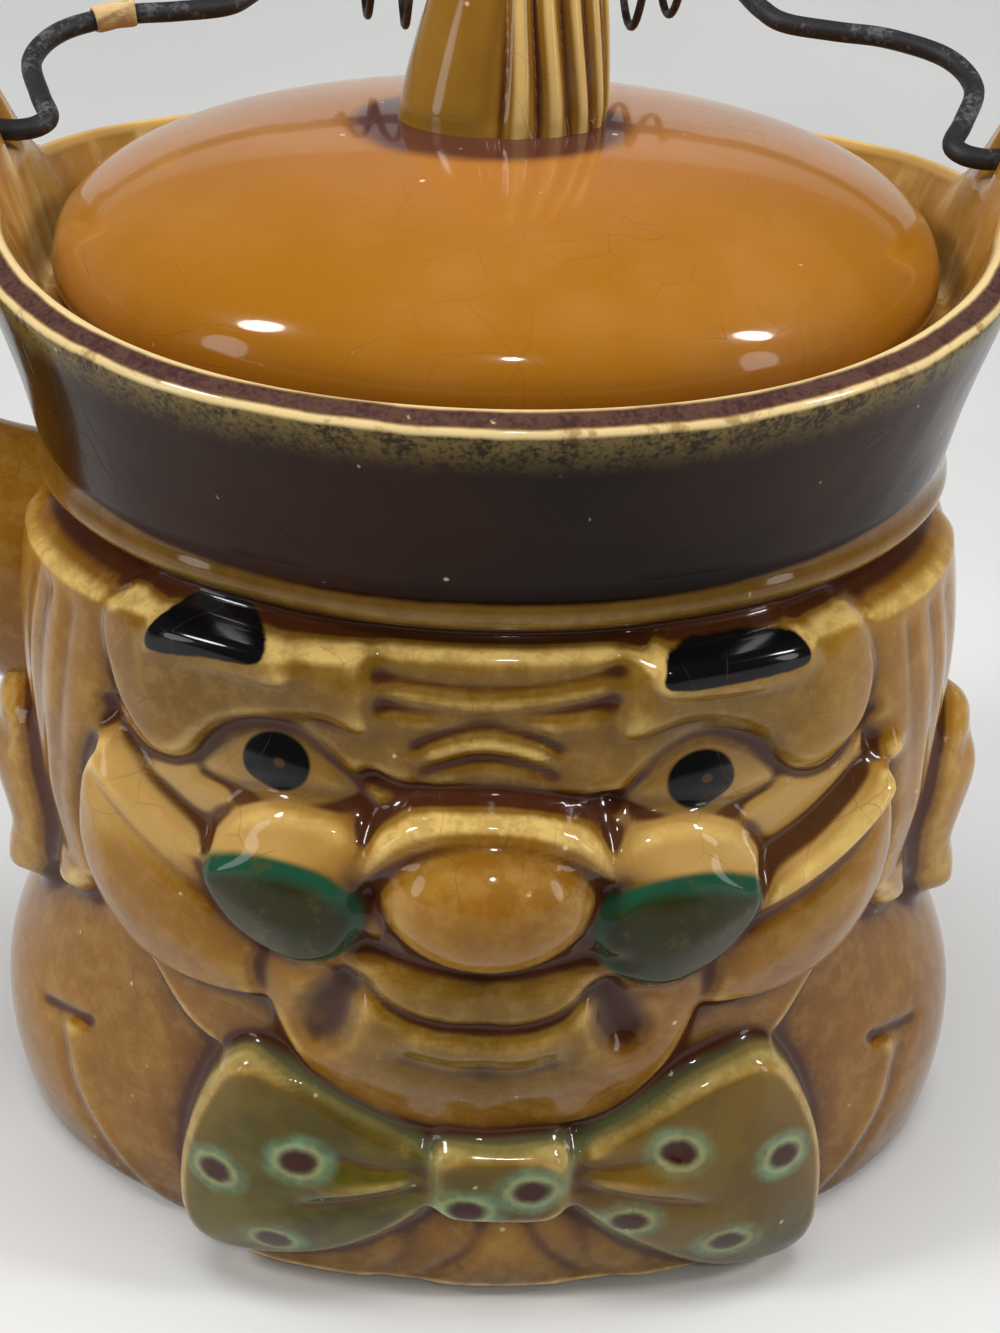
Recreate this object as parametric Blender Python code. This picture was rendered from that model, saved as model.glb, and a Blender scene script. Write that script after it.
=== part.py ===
"""Figural teapot: a slip-cast head-and-shoulders pot with a lid and a wire bail.

The pot stands on the flat underside of its foot, which is centred on the origin.
The face looks along -Y, the spout leaves on the -X side and +Z is up.
Lengths are in millimetres until a mesh is made, and MM turns them into metres.
The carving is drawn on a figure 116 mm tall from foot to hat crease, as places
across (along the skin, from the middle of the face) and up (from the foot), and
it grows with CREASE_HEIGHT.
"""
import math

import bpy
import numpy as np
from mathutils import Matrix, Vector

MM = 0.001
TOUCH_GAP = 0.3

# Pot, outside
FOOT_HALF_WIDTH = 81.0
FOOT_HALF_DEPTH = 56.0
SHOULDER_HALF_WIDTH = 82.5
SHOULDER_HALF_DEPTH = 59.5
HEAD_HALF_WIDTH = 69.5
HEAD_HALF_DEPTH = 61.5
CREASE_HEIGHT = 116.0
CREASE_HALF_WIDTH = 65.5
CREASE_HALF_DEPTH = 59.0
BRIM_HEIGHT = 34.3
BRIM_BACK_RISE = 4.2
BRIM_SIDE_RISE = 5.0
BRIM_SIDE_FLARE = 0.18
WALL = 5.0
FLOOR = 5.0
FOOT_ROUNDING = 2.4
FACE_TURN = 1.5

# Seat for the lid, inside the brim
LID_GAP = 2.0
LEDGE_WIDTH = 9.5
SEAT_DEPTH = 6.3
THROAT_BELOW_SKIRT = 2.0
SPREAD_OVER_SEAT_SIDE = 3.5
SPREAD_OVER_SEAT_FRONT = 1.5

# Lid
LID_RADIUS = 63.5
DOME_RISE = 19.3
DOME_FULLNESS = 2.4
LID_EDGE_DROP = 4.0
LID_THICKNESS = 4.5
SKIRT_CLEARANCE = 1.2
SKIRT_DEPTH = 8.0
SKIRT_THICKNESS = 3.5
KNOB_HALF_WIDTH = 14.6
KNOB_HALF_DEPTH = 13.2
KNOB_HEIGHT = 28.5
KNOB_LEAN = 3.5
KNOB_FLUTES = 17
FLUTE_DEPTH = 1.0

# Lugs and bail
WIRE_DIAMETER = 3.0
LUG_HOLE_CLEARANCE = 1.0
LUG_RISE = 15.0
LUG_HALF_SPAN = 17.0
LUG_HOLE_BELOW_TIP = 9.0
WIRE_IN_FROM_LUG = 6.5
TAIL_OUT_FROM_LUG = 5.5
TAIL_LENGTH = 7.0
BEND_RADIUS = 3.6
BAIL_TILT = 70.0
KNOB_CLEARANCE = 3.6
BAIL_CROWN = 13.5
BAIL_BULGE = 5.0
BAIL_BULGE_HEIGHT = 18.0
GRIP_LENGTH = 60.0
GRIP_RADIUS = 9.9
GRIP_WIRE = 1.3
GRIP_TURNS = 10
BAND_LENGTH = 6.5
BAND_THICKNESS = 0.5
BAND_IN_FROM_LUG = 11.1

# Spout
SPOUT_ROOT_HEIGHT = 98.0
SPOUT_SUNK = 10.0
SPOUT_REACH = 49.5
SPOUT_OVER_RIM = 1.7
SPOUT_ROOT_RADII = (15.0, 24.0)
SPOUT_TIP_RADII = (9.0, 9.5)
SPOUT_WALL = 3.5
CUT_OVERRUN = 8.0

# Facets
FACE_HALF_ANGLE = 0.86
FACE_COLUMNS = 28
CHEEK_COLUMNS = 4
LUG_COLUMNS = 8
BACK_COLUMNS = 9
FACE_ROWS = 25
FACET_SPREAD = 1.3
LID_COLUMNS = 30
WIRE_SIDES = 7
GRIP_SIDES = 5
GRIP_STEPS = 9
BORE_SIDES = 12

MASTER_CREASE = 116.0
ACROSS_PER_RADIAN = 66.0
FIGURE = CREASE_HEIGHT / MASTER_CREASE
RIM_HEIGHT = CREASE_HEIGHT + BRIM_HEIGHT
SEAT_HEIGHT = RIM_HEIGHT - SEAT_DEPTH
SEAT_RADIUS = LID_RADIUS + LID_GAP
OPENING_RADIUS = LID_RADIUS - LEDGE_WIDTH
RIM_HALF_WIDTH = SEAT_RADIUS + SPREAD_OVER_SEAT_SIDE + WALL
RIM_HALF_DEPTH = SEAT_RADIUS + SPREAD_OVER_SEAT_FRONT + WALL
LID_WIDEST_HEIGHT = SEAT_HEIGHT + TOUCH_GAP + LID_EDGE_DROP


def clear_scene():
    for thing in list(bpy.data.objects):
        bpy.data.objects.remove(thing, do_unlink=True)


def material(name, colour, roughness, metallic=0.0):
    """A Principled finish."""
    made = bpy.data.materials.new(name)
    made.use_nodes = True
    shader = made.node_tree.nodes["Principled BSDF"]
    shader.inputs["Base Color"].default_value = (*colour, 1.0)
    shader.inputs["Roughness"].default_value = roughness
    shader.inputs["Metallic"].default_value = metallic
    return made


def mesh_object(name, points, faces, finish=None):
    """An object from points in millimetres and its faces."""
    mesh = bpy.data.meshes.new(name)
    mesh.from_pydata((np.asarray(points, float) * MM).tolist(), [], faces)
    made = bpy.data.objects.new(name, mesh)
    bpy.context.scene.collection.objects.link(made)
    if finish:
        mesh.materials.append(finish)
    mesh.shade_smooth()
    mesh.set_sharp_from_angle(angle=math.radians(50))
    return made


def loft(rings, first_pole=None, last_pole=None):
    """Points and faces of a skin over equal closed rings, in order, with its two ends closed.

    An end closes on a pole point when one is given, and with one flat face otherwise.
    """
    count = len(rings[0])
    points = [tuple(point) for ring in rings for point in ring]
    faces = []
    for row in range(len(rings) - 1):
        low, high = row * count, (row + 1) * count
        for column in range(count):
            after = (column + 1) % count
            faces.append((low + column, low + after, high + after, high + column))
    last = (len(rings) - 1) * count
    if first_pole is None:
        faces.append(tuple(reversed(range(count))))
    else:
        pole = len(points)
        points.append(tuple(first_pole))
        faces += [((column + 1) % count, column, pole) for column in range(count)]
    if last_pole is None:
        faces.append(tuple(range(last, last + count)))
    else:
        pole = len(points)
        points.append(tuple(last_pole))
        faces += [(last + column, last + (column + 1) % count, pole) for column in range(count)]
    return points, faces


def smooth_step(value, low, high):
    part = np.clip((value - low) / (high - low), 0.0, 1.0)
    return part * part * (3.0 - 2.0 * part)


def smooth_through(places, values, at):
    """A smooth line through the values, flat beyond its ends."""
    places = np.asarray(places, float)
    values = np.asarray(values, float)
    slopes = np.gradient(values, places)
    at = np.clip(at, places[0], places[-1])
    cell = np.clip(np.searchsorted(places, at, side="right") - 1, 0, len(places) - 2)
    width = places[cell + 1] - places[cell]
    part = (at - places[cell]) / width
    rise = values[cell + 1] - values[cell]
    bend = part * part * (3.0 - 2.0 * part)
    start = part * (1.0 - part) ** 2 * width * slopes[cell]
    end = part * part * (part - 1.0) * width * slopes[cell + 1]
    return values[cell] + bend * rise + start + end


def curve_points(corners, closed, steps=6):
    """Points along a smooth curve through a few corners."""
    corners = [Vector(corner) for corner in corners]
    if closed:
        padded = [corners[-1], *corners, corners[0], corners[1]]
    else:
        padded = [2 * corners[0] - corners[1], *corners, 2 * corners[-1] - corners[-2]]
    made = []
    for a, b, c, d in zip(padded, padded[1:], padded[2:], padded[3:]):
        for step in range(steps):
            t = step / steps
            made.append(0.5 * (2 * b + (c - a) * t + (2 * a - 5 * b + 4 * c - d) * t ** 2
                               + (3 * b - a - 3 * c + d) * t ** 3))
    if not closed:
        made.append(corners[-1])
    return np.array([tuple(point) for point in made])


def distance_to_line(across, up, line, closed=False):
    """The shortest distance from each place to a line of points."""
    starts = line if closed else line[:-1]
    ends = np.roll(line, -1, axis=0) if closed else line[1:]
    best = np.full(across.shape, 1e9)
    for start, end in zip(starts, ends):
        along = end - start
        reach = max(along @ along, 1e-9)
        part = np.clip(((across - start[0]) * along[0] + (up - start[1]) * along[1]) / reach, 0.0, 1.0)
        gap = np.hypot(across - start[0] - part * along[0], up - start[1] - part * along[1])
        best = np.minimum(best, gap)
    return best


def is_inside(across, up, line):
    """True for each place inside a closed line."""
    inside = np.zeros(across.shape, bool)
    for start, end in zip(line, np.roll(line, -1, axis=0)):
        crosses = (start[1] > up) != (end[1] > up)
        height = end[1] - start[1] if end[1] != start[1] else 1e-9
        at = start[0] + (up - start[1]) * (end[0] - start[0]) / height
        inside ^= crosses & (across < at)
    return inside


class Skin:
    """The height of the carving over the pot's plain oval, place by place.

    The two sides of the face are alike, so places are taken on one side only.
    """

    def __init__(self, across, up, centre=0.0):
        self.side = np.abs(across - centre)
        self.up = up
        self.height = np.zeros(self.side.shape)

    def lift(self, outline, level, crown=0.0, edge=2.0, reach=9.0):
        """Raises the inside of an outline to a level, with a soft edge and a domed middle."""
        line = curve_points(outline, closed=True)
        depth = distance_to_line(self.side, self.up, line, closed=True)
        depth = np.where(is_inside(self.side, self.up, line), depth, -depth)
        share = smooth_step(depth, -edge / 2, edge / 2)
        dome = crown * np.sqrt(np.clip(depth / reach, 0.0, 1.0))
        self.height = self.height * (1 - share) + (level + dome) * share

    def dome(self, centre, radii, rise, base=0.0):
        """A rounded boss that stands out of the skin wherever it is the higher."""
        share = ((self.side - centre[0]) / radii[0]) ** 2 + ((self.up - centre[1]) / radii[1]) ** 2
        boss = base + (rise - base) * np.sqrt(np.clip(1 - share, 0, 1))
        self.height = np.where(share < 1, np.maximum(self.height, boss), self.height)

    def stroke(self, corners, height, width):
        """A rounded ridge along a line, or a groove where the height is below zero."""
        gap = distance_to_line(self.side, self.up, curve_points(corners, closed=False))
        self.height = self.height + height * np.exp(-(gap / width) ** 2)


def carve_coat(skin):
    """Coat lapels with their notches."""
    skin.stroke([(50, 40), (58, 37), (67, 31)], -1.6, 1.6)
    skin.stroke([(67, 31), (68, 18), (55, 1)], -0.9, 1.8)
    skin.lift([(0, 38), (9, 36), (12, 20), (9, 0), (0, 0)], 2.0, 0.0, 3.0)


def carve_head(skin):
    """The mass of the head over the coat, its hair and its ears."""
    jaw = smooth_through([0, 9, 23, 41, 50, 58, 68, 79, 92, 106, 125, 210],
                         [31, 32, 39, 44.5, 51, 57, 58, 53, 45, 47, 51, 51], skin.side)
    skin.height = skin.height + 2.6 * smooth_step(skin.up - jaw, -1.2, 1.4)
    skin.lift([(54, 118), (56, 98), (64, 78), (67, 60), (76, 52), (84, 56), (82, 74), (80, 95), (82, 118)],
              4.4, 1.2, 2.0)
    for shift in (0.0, 7.0):
        skin.stroke([(61 + shift, 114), (63 + shift, 96), (70 + shift, 76), (72 + shift, 60)], -1.1, 1.5)
    skin.lift([(80, 90), (90, 98), (104, 94), (109, 76), (102, 56), (92, 46), (83, 52), (79, 68)],
              9.5, 4.0, 3.0, 12.0)
    skin.stroke([(86, 88), (96, 88), (98, 74), (90, 62)], -2.4, 3.0)
    back_hair = smooth_step(skin.side, 108, 118) * smooth_step(skin.up, 50, 60)
    skin.height = skin.height + back_hair * (1.6 + 0.8 * np.cos(skin.side * 2 * math.pi / 15.0))


def carve_brow_and_eyes(skin):
    """Forehead wrinkles, swollen lids, painted brows and eyes."""
    for drop in (0.0, 4.2):
        skin.stroke([(0, 111 - drop), (11, 112 - drop), (24, 114 - drop)], -1.3, 1.4)
    skin.lift([(17, 101), (26, 103.5), (35, 100), (41, 94), (49, 94.5), (54, 102), (53, 113), (40, 120),
               (22, 117)], 4.8, 1.8, 2.2)
    skin.lift([(24, 117), (34, 118.5), (45, 115), (46.5, 108.5), (36, 107.5), (24, 110)], 8.6, 0.6, 1.6)
    skin.lift([(17, 93), (22, 98.5), (28, 100.5), (34, 98), (37.5, 92.5), (29, 90)], 1.4, 1.6, 1.6, 5.0)
    skin.stroke([(15.5, 93), (22, 99.6), (28, 101.6), (34.5, 99), (39, 92.5), (47, 91), (55, 96)], -1.3, 1.1)
    skin.stroke([(16, 93), (28, 89), (39, 92)], -0.9, 1.0)
    skin.stroke([(0, 104.5), (8, 102.5)], -1.1, 1.2)
    skin.stroke([(0, 100.5), (7.5, 98.5)], -1.1, 1.2)
    skin.stroke([(0, 95.5), (14, 95)], -1.5, 1.5)


def carve_cheeks_and_mouth(skin):
    """Cheeks, muzzle, lips and chin."""
    skin.lift([(26, 62), (33, 74), (44, 81), (56, 88), (60, 78), (60, 66), (54, 58.5), (40, 57)],
              5.6, 2.6, 2.6)
    skin.lift([(0, 36.5), (15, 39.5), (26, 50), (30, 62), (24, 70), (10, 74), (0, 75)], 5.8, 2.2, 2.4)
    skin.stroke([(0, 58), (7, 59.5), (13, 64.5)], -2.6, 1.3)
    skin.stroke([(0, 54.8), (8, 56.4)], 1.4, 2.2)
    skin.stroke([(0, 49.6), (9, 51)], -1.0, 2.0)
    skin.stroke([(16, 66), (19.5, 58), (18.5, 50)], -2.4, 2.2)


def carve_spectacles_and_nose(skin):
    """Small spectacles low on a round nose."""
    skin.lift([(12, 86), (16, 91), (25, 92), (34, 88), (34, 82), (23, 84)], 5.0, 1.0, 2.0)
    skin.stroke([(34, 75.5), (45, 81.5), (56, 88.5)], 3.0, 2.0)
    skin.lift([(12.6, 79), (15, 86), (23, 88.4), (31, 85), (34.5, 79), (30, 71), (22, 68.6), (15, 71.5)],
              8.0, 3.4, 1.8, 8.0)
    skin.stroke([(0, 95), (8, 93), (14, 86.5)], 5.4, 2.0)
    skin.dome((0, 85), (12.4, 11.4), 15.0)
    skin.dome((11.6, 78.5), (4.6, 4.6), 8.4, 3.0)


def carve_bow_tie(skin):
    """Two full lobes with their folds, and the knot between them."""
    skin.lift([(6, 23), (6, 34), (19, 42), (30, 47), (37, 47), (39, 34), (39, 18), (39, 5), (33, 1.5),
               (20, 8)], 7.4, 2.6, 2.0)
    skin.stroke([(8, 28.5), (20, 23.5)], -1.8, 1.6)
    skin.lift([(0, 36.2), (7, 35.6), (7.8, 29), (6.6, 22.6), (0, 22)], 10.6, 0.8, 1.6)


def relief(across, up):
    """Height of the carving, in millimetres, at places on the master figure."""
    face = Skin(across, up, FACE_TURN)
    carve_coat(face)
    carve_head(face)
    carve_brow_and_eyes(face)
    carve_cheeks_and_mouth(face)
    carve_spectacles_and_nose(face)
    carve_bow_tie(face)
    below_hat = 1 - smooth_step(up, MASTER_CREASE - 4.0, MASTER_CREASE - 0.5)
    above_foot = smooth_step(up, -1.5, 3.0)
    roll = 2.0 * np.exp(-((up - MASTER_CREASE - 3.4) / 2.6) ** 2)
    crease = -1.4 * np.exp(-((up - MASTER_CREASE) / 1.3) ** 2)
    return face.height * below_hat * above_foot + roll + crease


def relief_of_facets(across, up):
    """The carving evened out over the size of a facet, so that thin grooves don't break up."""
    tries = [relief(across + over, up + rise) for over in (-FACET_SPREAD, FACET_SPREAD)
             for rise in (-FACET_SPREAD, FACET_SPREAD)]
    return (2 * relief(across, up) + sum(tries)) / 6


def outer_oval(height):
    """Half-width and half-depth of the plain pot at a height."""
    in_brim = [(CREASE_HEIGHT + share * BRIM_HEIGHT) / FIGURE for share in (0.0, 0.175, 0.525, 1.0)]
    places = [0, 8, 28, 43, 51, 75, 100, 112, *in_brim]
    brim = RIM_HALF_WIDTH - CREASE_HALF_WIDTH
    brim_depth = RIM_HALF_DEPTH - CREASE_HALF_DEPTH
    widths = [FOOT_HALF_WIDTH, SHOULDER_HALF_WIDTH, SHOULDER_HALF_WIDTH - 1.0,
              0.4 * SHOULDER_HALF_WIDTH + 0.6 * HEAD_HALF_WIDTH, HEAD_HALF_WIDTH, HEAD_HALF_WIDTH,
              HEAD_HALF_WIDTH - 0.5, CREASE_HALF_WIDTH + 1.0, CREASE_HALF_WIDTH,
              CREASE_HALF_WIDTH + 0.22 * brim, CREASE_HALF_WIDTH + 0.5 * brim, RIM_HALF_WIDTH]
    depths = [FOOT_HALF_DEPTH, SHOULDER_HALF_DEPTH - 1.5, SHOULDER_HALF_DEPTH, SHOULDER_HALF_DEPTH,
              HEAD_HALF_DEPTH - 0.5, HEAD_HALF_DEPTH, HEAD_HALF_DEPTH, CREASE_HALF_DEPTH + 1.0,
              CREASE_HALF_DEPTH, CREASE_HALF_DEPTH + 0.16 * brim_depth,
              CREASE_HALF_DEPTH + 0.48 * brim_depth, RIM_HALF_DEPTH]
    at = height / FIGURE
    above = np.maximum(height - RIM_HEIGHT, 0.0) * BRIM_SIDE_FLARE
    return smooth_through(places, widths, at) + above, smooth_through(places, depths, at) + above


def rim_height(angle):
    """Height of the rim round the pot: low in front, a little higher behind, with a lug each side."""
    sway = BRIM_BACK_RISE * (1 - np.cos(angle)) / 2
    off = (np.abs(np.abs(angle) - math.pi / 2)) * RIM_HALF_WIDTH / LUG_HALF_SPAN
    lug = LUG_RISE * (1 + np.cos(math.pi * np.clip(off, 0, 1))) / 2
    return RIM_HEIGHT + sway + BRIM_SIDE_RISE * np.sin(angle) ** 4 + lug


def dome_height(radius):
    """Height of the lid's top over its widest ring."""
    return DOME_RISE * (1 - (radius / LID_RADIUS) ** DOME_FULLNESS) ** (1 / DOME_FULLNESS)


LUG_TIP = float(rim_height(np.array(math.pi / 2)))
HINGE_HEIGHT = LUG_TIP - LUG_HOLE_BELOW_TIP
LUG_OUTSIDE = float(outer_oval(np.array(HINGE_HEIGHT))[0])
LUG_INSIDE = LUG_OUTSIDE - WALL
KNOB_BASE = LID_WIDEST_HEIGHT + dome_height(KNOB_HALF_WIDTH)
BAIL_HEIGHT = KNOB_BASE + KNOB_HEIGHT + KNOB_CLEARANCE + GRIP_RADIUS - HINGE_HEIGHT
BAIL_SHOULDER = BAIL_HEIGHT - BAIL_CROWN


def column_angles():
    """Angles of the pot's columns, closest on the face and at the lugs."""
    quarter = math.pi / 2
    lug_span = 1.1 * LUG_HALF_SPAN / RIM_HALF_WIDTH
    ends = [-quarter + lug_span, -FACE_HALF_ANGLE, FACE_HALF_ANGLE, quarter - lug_span,
            quarter + lug_span, 3 * quarter - lug_span, 3 * quarter + lug_span]
    counts = [CHEEK_COLUMNS, FACE_COLUMNS, CHEEK_COLUMNS, LUG_COLUMNS, BACK_COLUMNS, LUG_COLUMNS]
    return np.concatenate([np.linspace(low, high, count, endpoint=False)
                           for low, high, count in zip(ends, ends[1:], counts)])


def oval_ring(angle, half_width, half_depth, height, out=0.0):
    """A ring of points, pushed out along the oval's own normal."""
    normal = np.stack([np.sin(angle) * half_depth, -np.cos(angle) * half_width], -1)
    normal /= np.linalg.norm(normal, axis=1)[:, None]
    x = half_width * np.sin(angle) + normal[:, 0] * out
    y = -half_depth * np.cos(angle) + normal[:, 1] * out
    return np.stack([x, y, np.broadcast_to(height, x.shape)], -1)


def outside_rings(angle):
    """The pot's outer skin from the foot's edge to the rim's outer edge."""
    turn = (angle + math.pi) % (2 * math.pi) - math.pi
    across = ACROSS_PER_RADIAN * turn
    heights = [0.0, 1.2, 4.0, *np.linspace(8.0, 112.0, FACE_ROWS), 114.6, 116.0, 119.0, 122.5]
    tucks = [FOOT_ROUNDING, 0.3 * FOOT_ROUNDING] + [0.0] * (len(heights) - 2)
    rings = []
    for height, tuck in zip(heights, tucks):
        width, depth = outer_oval(np.array(height * FIGURE))
        out = relief_of_facets(across, np.full(across.shape, height)) * FIGURE - tuck
        rings.append(oval_ring(angle, width, depth, height * FIGURE, out))
    low = heights[-1] * FIGURE
    top = rim_height(turn)
    for share in (0.2, 0.45, 0.72, 0.97, 1.0):
        height = low + share * (top - low)
        width, depth = outer_oval(height)
        rings.append(oval_ring(angle, width, depth, height, -0.8 if share == 1.0 else 0.0))
    return rings


def inside_rings(angle):
    """From the rim's inner edge down the brim, over the lid's seat and down the hollow to its floor."""
    turn = (angle + math.pi) % (2 * math.pi) - math.pi
    across = ACROSS_PER_RADIAN * turn
    top = rim_height(turn)
    rings = []
    for share in (1.0, 0.9, 0.45):
        height = SEAT_HEIGHT + share * (top - SEAT_HEIGHT)
        width, depth = outer_oval(height)
        wide = SEAT_RADIUS + (width - WALL - SEAT_RADIUS) * share ** 0.8
        deep = SEAT_RADIUS + (depth - WALL - SEAT_RADIUS) * share ** 0.8
        rings.append(oval_ring(angle, wide, deep, height, 0.7 if share == 1.0 else 0.0))
    for radius, height in ((SEAT_RADIUS, SEAT_HEIGHT), (OPENING_RADIUS, SEAT_HEIGHT),
                           (OPENING_RADIUS, SEAT_HEIGHT - SKIRT_DEPTH - THROAT_BELOW_SKIRT)):
        rings.append(oval_ring(angle, radius, radius, height))
    for height in (112.0, 90.0, 68.0, 50.0, 32.0, FLOOR + 5.0, FLOOR):
        width, depth = outer_oval(np.array(height * FIGURE))
        around = [relief(across + over, np.full(across.shape, height + rise))
                  for over in (-5, 0, 5) for rise in (-5, 0, 5)]
        tuck = 5.0 if height == FLOOR else 0.0
        out = np.minimum(np.minimum.reduce(around), 6.0) * FIGURE - WALL - tuck
        rings.append(oval_ring(angle, width, depth, height * FIGURE, out))
    return rings


def spout_line(share):
    """Middle of the spout: out of the side of the head, then turning up."""
    root = SPOUT_ROOT_HEIGHT * FIGURE
    rise = RIM_HEIGHT + SPOUT_OVER_RIM - root
    start = Vector((-HEAD_HALF_WIDTH + SPOUT_SUNK, 0.0, root - 0.11 * rise))
    first = Vector((-HEAD_HALF_WIDTH - 0.36 * SPOUT_REACH, 0.0, root + 0.04 * rise))
    second = Vector((-HEAD_HALF_WIDTH - 0.8 * SPOUT_REACH, 0.0, root + 0.3 * rise))
    end = Vector((-HEAD_HALF_WIDTH - SPOUT_REACH, 0.0, root + rise))
    back = 1 - share
    return back ** 3 * start + 3 * back ** 2 * share * first + 3 * back * share ** 2 * second + share ** 3 * end


def spout_rings(inset, shares, sides):
    """Oval rings across the spout's middle line, smaller towards the tip."""
    rings = []
    for share in shares:
        middle = spout_line(share)
        along = (spout_line(share + 0.01) - spout_line(share - 0.01)).normalized()
        upright = along.cross(Vector((0, 1, 0))).normalized()
        narrow = max(1 - share, 0.0) ** 1.3
        half_deep = SPOUT_TIP_RADII[0] + (SPOUT_ROOT_RADII[0] - SPOUT_TIP_RADII[0]) * narrow - inset
        half_high = SPOUT_TIP_RADII[1] + (SPOUT_ROOT_RADII[1] - SPOUT_TIP_RADII[1]) * narrow - inset
        ring = []
        for side in range(sides):
            turn = 2 * math.pi * side / sides
            across = Vector((0, 1, 0)) * half_deep * math.cos(turn)
            ring.append(tuple(middle + across + upright * half_high * math.sin(turn)))
        rings.append(ring)
    return rings


def add_boolean(target, other, operation):
    other.hide_render = True
    other.display_type = "WIRE"
    cut = target.modifiers.new(other.name, "BOOLEAN")
    cut.operation = operation
    cut.object = other


def build_pot(finish):
    """Bust, hat brim, lugs and spout in one hollow piece."""
    angle = column_angles()
    rings = outside_rings(angle) + inside_rings(angle)
    points, faces = loft(rings, (0, 0, 0), (0, 0, FLOOR * FIGURE))
    pot = mesh_object("body", points, faces, finish)
    spout = mesh_object("spout_outside", *loft(spout_rings(0.0, (0.0, 0.2, 0.4, 0.6, 0.8, 1.0), BORE_SIDES)))
    bore_shares = (-0.12, 0.15, 0.35, 0.55, 0.75, 1.06)
    bore = mesh_object("spout_bore", *loft(spout_rings(SPOUT_WALL, bore_shares, BORE_SIDES)))
    add_boolean(pot, spout, "UNION")
    add_boolean(pot, bore, "DIFFERENCE")
    hole_radius = WIRE_DIAMETER / 2 + LUG_HOLE_CLEARANCE
    low, high = LUG_INSIDE - CUT_OVERRUN, LUG_OUTSIDE + CUT_OVERRUN
    for name, ends in (("hole_left", (-high, -low)), ("hole_right", (low, high))):
        rings = [[(x, hole_radius * math.cos(turn), HINGE_HEIGHT + hole_radius * math.sin(turn))
                  for turn in np.linspace(0, 2 * math.pi, BORE_SIDES, endpoint=False)] for x in ends]
        add_boolean(pot, mesh_object(name, *loft(rings)), "DIFFERENCE")
    return pot


def knob_ring(angle, share):
    """A ring round the plume-shaped knob, smooth on the left and fluted on the right."""
    swell = 1.0 - 0.42 * share ** 2.2 - 0.05 * np.sin(math.pi * share)
    right = smooth_step(np.cos(angle - 0.35), -0.2, 0.25)
    flute = FLUTE_DEPTH * np.cos(KNOB_FLUTES * angle) * right * (1 - 0.5 * share)
    x = (KNOB_HALF_WIDTH * swell + flute) * np.cos(angle) + KNOB_LEAN * share
    y = (KNOB_HALF_DEPTH * swell + flute) * np.sin(angle)
    return np.stack([x, y, np.full(x.shape, KNOB_BASE + KNOB_HEIGHT * share)], -1)


def build_lid(finish):
    """Domed lid with a locating skirt, hollow underneath, and its knob."""
    angle = np.linspace(0, 2 * math.pi, LID_COLUMNS, endpoint=False)
    widest = LID_WIDEST_HEIGHT
    seat = widest - LID_EDGE_DROP
    skirt = OPENING_RADIUS - SKIRT_CLEARANCE
    hollow = skirt - SKIRT_THICKNESS

    def ring(radius, height):
        return np.stack([radius * np.cos(angle), radius * np.sin(angle), np.full(angle.shape, height)], -1)

    under = widest - LID_THICKNESS
    profile = [(hollow * share, under + dome_height(hollow * share)) for share in (0.55, 0.88, 1.0)]
    profile += [(hollow, seat - SKIRT_DEPTH), (skirt, seat - SKIRT_DEPTH), (skirt, seat),
                (LID_RADIUS - 1.1 * LID_EDGE_DROP, seat),
                (LID_RADIUS - 0.32 * LID_EDGE_DROP, seat + 0.45 * LID_EDGE_DROP), (LID_RADIUS, widest)]
    for radius_share in (0.985, 0.93, 0.82, 0.65, 0.45, 0.3):
        radius = LID_RADIUS * radius_share
        profile.append((radius, widest + dome_height(radius)))
    rings = [ring(*place) for place in profile]
    rings += [knob_ring(angle, share) for share in (0.0, 0.2, 0.42, 0.64, 0.82, 0.93)]
    tip = knob_ring(angle, 0.985)
    rings.append(tip + (tip.mean(axis=0) - tip) * np.array([0.45, 0.45, 0.0]))
    pole = tip.mean(axis=0) + np.array([0, 0, 0.015 * KNOB_HEIGHT])
    points, faces = loft(rings, (0, 0, under + DOME_RISE), pole)
    return mesh_object("lid", points, faces, finish)


def tube_rings(line, radius, sides):
    """Rings across a line of points that does not cross itself, without twist."""
    line = [Vector(point) for point in line]
    along = (line[1] - line[0]).normalized()
    side = along.cross(Vector((0.0, 0.31, 0.95))).normalized()
    rings = []
    for place, point in enumerate(line):
        before = line[max(place - 1, 0)]
        after = line[min(place + 1, len(line) - 1)]
        along = (after - before).normalized()
        side = (side - along * side.dot(along)).normalized()
        other = along.cross(side)
        rings.append([tuple(point + radius * (side * math.cos(turn) + other * math.sin(turn)))
                      for turn in np.linspace(0, 2 * math.pi, sides, endpoint=False)])
    return rings


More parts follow.
